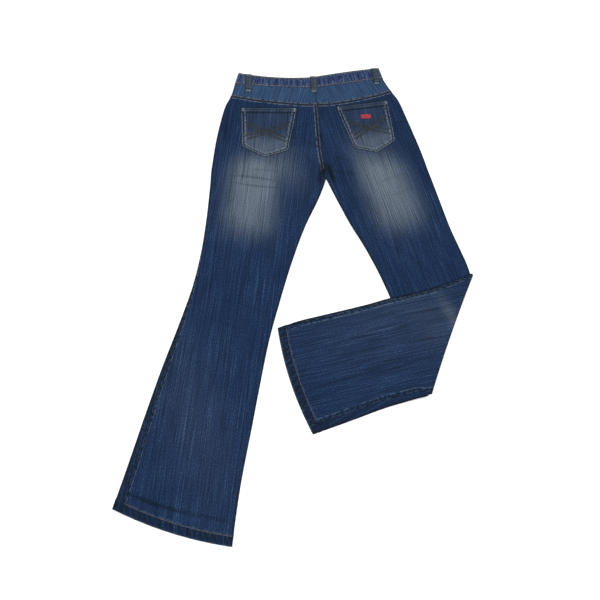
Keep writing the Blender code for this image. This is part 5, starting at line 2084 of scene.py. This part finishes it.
class Jeans:
    """The whole garment: its pieces and its threads."""

    def __init__(self) -> None:
        """Make the finishes and the threads."""
        looks = Finishes()
        self.looks = looks
        self.thread = Sewing("topstitching", looks.thread)
        self.pale = Sewing("pocket_topstitching", looks.pale_thread)
        self.olive = Sewing("dull_stitching", looks.olive_thread, width=1.5)
        self.cord = Sewing("pocket_design", looks.thick_thread,
                           pitch=3.4, length=3.8, width=1.7, height=0.7)
        self.fine = Sewing("waistband_stitching", looks.band_thread,
                           pitch=2.8, length=2.4, width=1.4, height=0.5)
        self.pieces: Dict[str, bpy.types.Object] = {}
        self.cloths: Dict[str, Cloth] = {}

    def put(self, name: str, cloth: Cloth, finish: bpy.types.Material, *rests_on: str, held: str = "laid",
            slot: str = "denim", suffix: str = "_cloth") -> None:
        """Add a cloth piece in its node's place.

        Args:
            name: The CAD node that it stands for.
            cloth: Its grid.
            finish: Its material.
            *rests_on: Not used.
            held: Not used.
            slot: Not used.
            suffix: What its own name adds to the node's.
        """
        label = name + suffix
        self.cloths[name] = cloth
        self.pieces[name] = add_piece(label, cloth.mesh(label), finish, slot, name)

    def ground(self, *names: str) -> Ground:
        """Finished pieces as ground for others."""
        return Ground([self.pieces[name] for name in names])

    def legs(self) -> None:
        """Lay the leg panels, each back on its front."""
        for name, cloth in LegPanels().build().items():
            held = "folded" if name.endswith("right") else "laid"
            under = name.replace("back", "front") + "_cloth" if name.startswith("back") else "paper_floor"
            self.put(name, cloth, self.looks.denim, under, held=held)

    def waist(self) -> None:
        """Lay the yokes and the waistband, and sew the band's edges."""
        for yoke in YOKES:
            under = yoke.name.replace("yoke", "front") + "_cloth"
            self.put(yoke.name, yoke.cloth(), self.looks.yoke, under)
        band = Waistband().cloth()
        under = [loop.name + "_cloth" for loop in FRONT_LOOPS]
        self.put("waistband", band, self.looks.band, *under, held="folded")
        for edge, offset in ((Edge.OUTER, 3.2), (Edge.INNER, 2.8)):
            self.fine.row(*band.line(edge, offset, (2, 2)))

    def pockets(self) -> None:
        """Sew the back pockets on, and the tab on the right one."""
        backs = self.ground("back_left", "back_right")
        for pocket in POCKETS:
            cloth = pocket.cloth(backs)
            under = pocket.name.replace("pocket", "back") + "_cloth"
            self.put(pocket.name, cloth, self.looks.pocket, under)
            pocket.sew(cloth, self.pale, self.olive, self.cord, self.ground(pocket.name))
        tab = tab_cloth(self.ground("pocket_right"))
        self.put("pocket_tab", tab, self.looks.red_tape, "pocket_right_cloth",
                 slot="red_tape", suffix="_tape")

    def loops(self) -> None:
        """Sew the back belt loops over the band, and lay the front ones under it."""
        carriers = self.ground("waistband", "yoke_left", "yoke_right", "back_left", "back_right")
        for loop in BACK_LOOPS:
            cloth = loop.cloth(carriers)
            self.put(loop.name, cloth, self.looks.loop, "waistband_cloth", slot="loop_denim")
            loop.sew(cloth, self.pale)
        for loop in FRONT_LOOPS:
            self.put(loop.name, loop.cloth(None), self.looks.loop, "paper_floor", slot="loop_denim")

    def inside(self) -> None:
        """Lay the facings, the fly shield and the zip between the layers, and add the castings."""
        inner = InnerPieces()
        for side, leg in (("left", LEFT_LEG), ("right", RIGHT_THIGH)):
            self.put("facing_" + side, inner.facing(leg), self.looks.denim, f"front_{side}_cloth")
        shield = inner.strip((-34.0, 14.0), ((1.06, 4.1), (1.75, 4.1), (2.3, 2.8), (3.6, 2.8)), WALL)
        self.put("fly_shield", shield, self.looks.denim, "front_right_cloth")
        tape = inner.strip((-20.0, 8.0), ((1.08, 2.7), (1.75, 2.7), (2.3, 1.4), (3.4, 1.4)), TAPE_WALL)
        self.put("zip_tape", tape, self.looks.zip_tape, "front_left_cloth", slot="cotton_tape")
        add_piece("zip_teeth", inner.teeth(tape), self.looks.brass, "brass")
        hardware = Hardware(self.looks.brass)
        hardware.button()
        hardware.slider()

    def topstitch(self) -> None:
        """Sew the panels' seams, the inseams only above the crotch, and finish the threads."""
        for name in ("back_left", "back_right", "front_right"):
            cloth = self.cloths[name]
            for seam in cloth.seams:
                for offset in seam.stitches:
                    if seam.edge is Edge.INNER:
                        path, normals = cloth.line(seam.edge, offset)
                        high = path[:, 1] > SEAT_SEAM_END
                        (self.olive if offset > 5 else self.thread).row(path[high], normals[high])
                    else:
                        self.thread.row(*cloth.line(seam.edge, offset, (1, 1)))
        for sewing in (self.thread, self.pale, self.olive, self.cord, self.fine):
            sewing.finish()

    def build(self) -> None:
        """Build every piece, from the legs up, and sew them."""
        self.legs()
        self.waist()
        self.pockets()
        self.loops()
        self.inside()
        self.topstitch()


def build() -> None:
    """Set up the studio and build the jeans in it."""
    studio = Studio()
    studio.camera()
    studio.floor()
    studio.light()
    Jeans().build()


def main() -> None:
    """Build the jeans around the frame."""
    logging.basicConfig(level=logging.INFO, format="%(name)s %(message)s")
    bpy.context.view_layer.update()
    build()


if __name__ == "__main__":
    main()
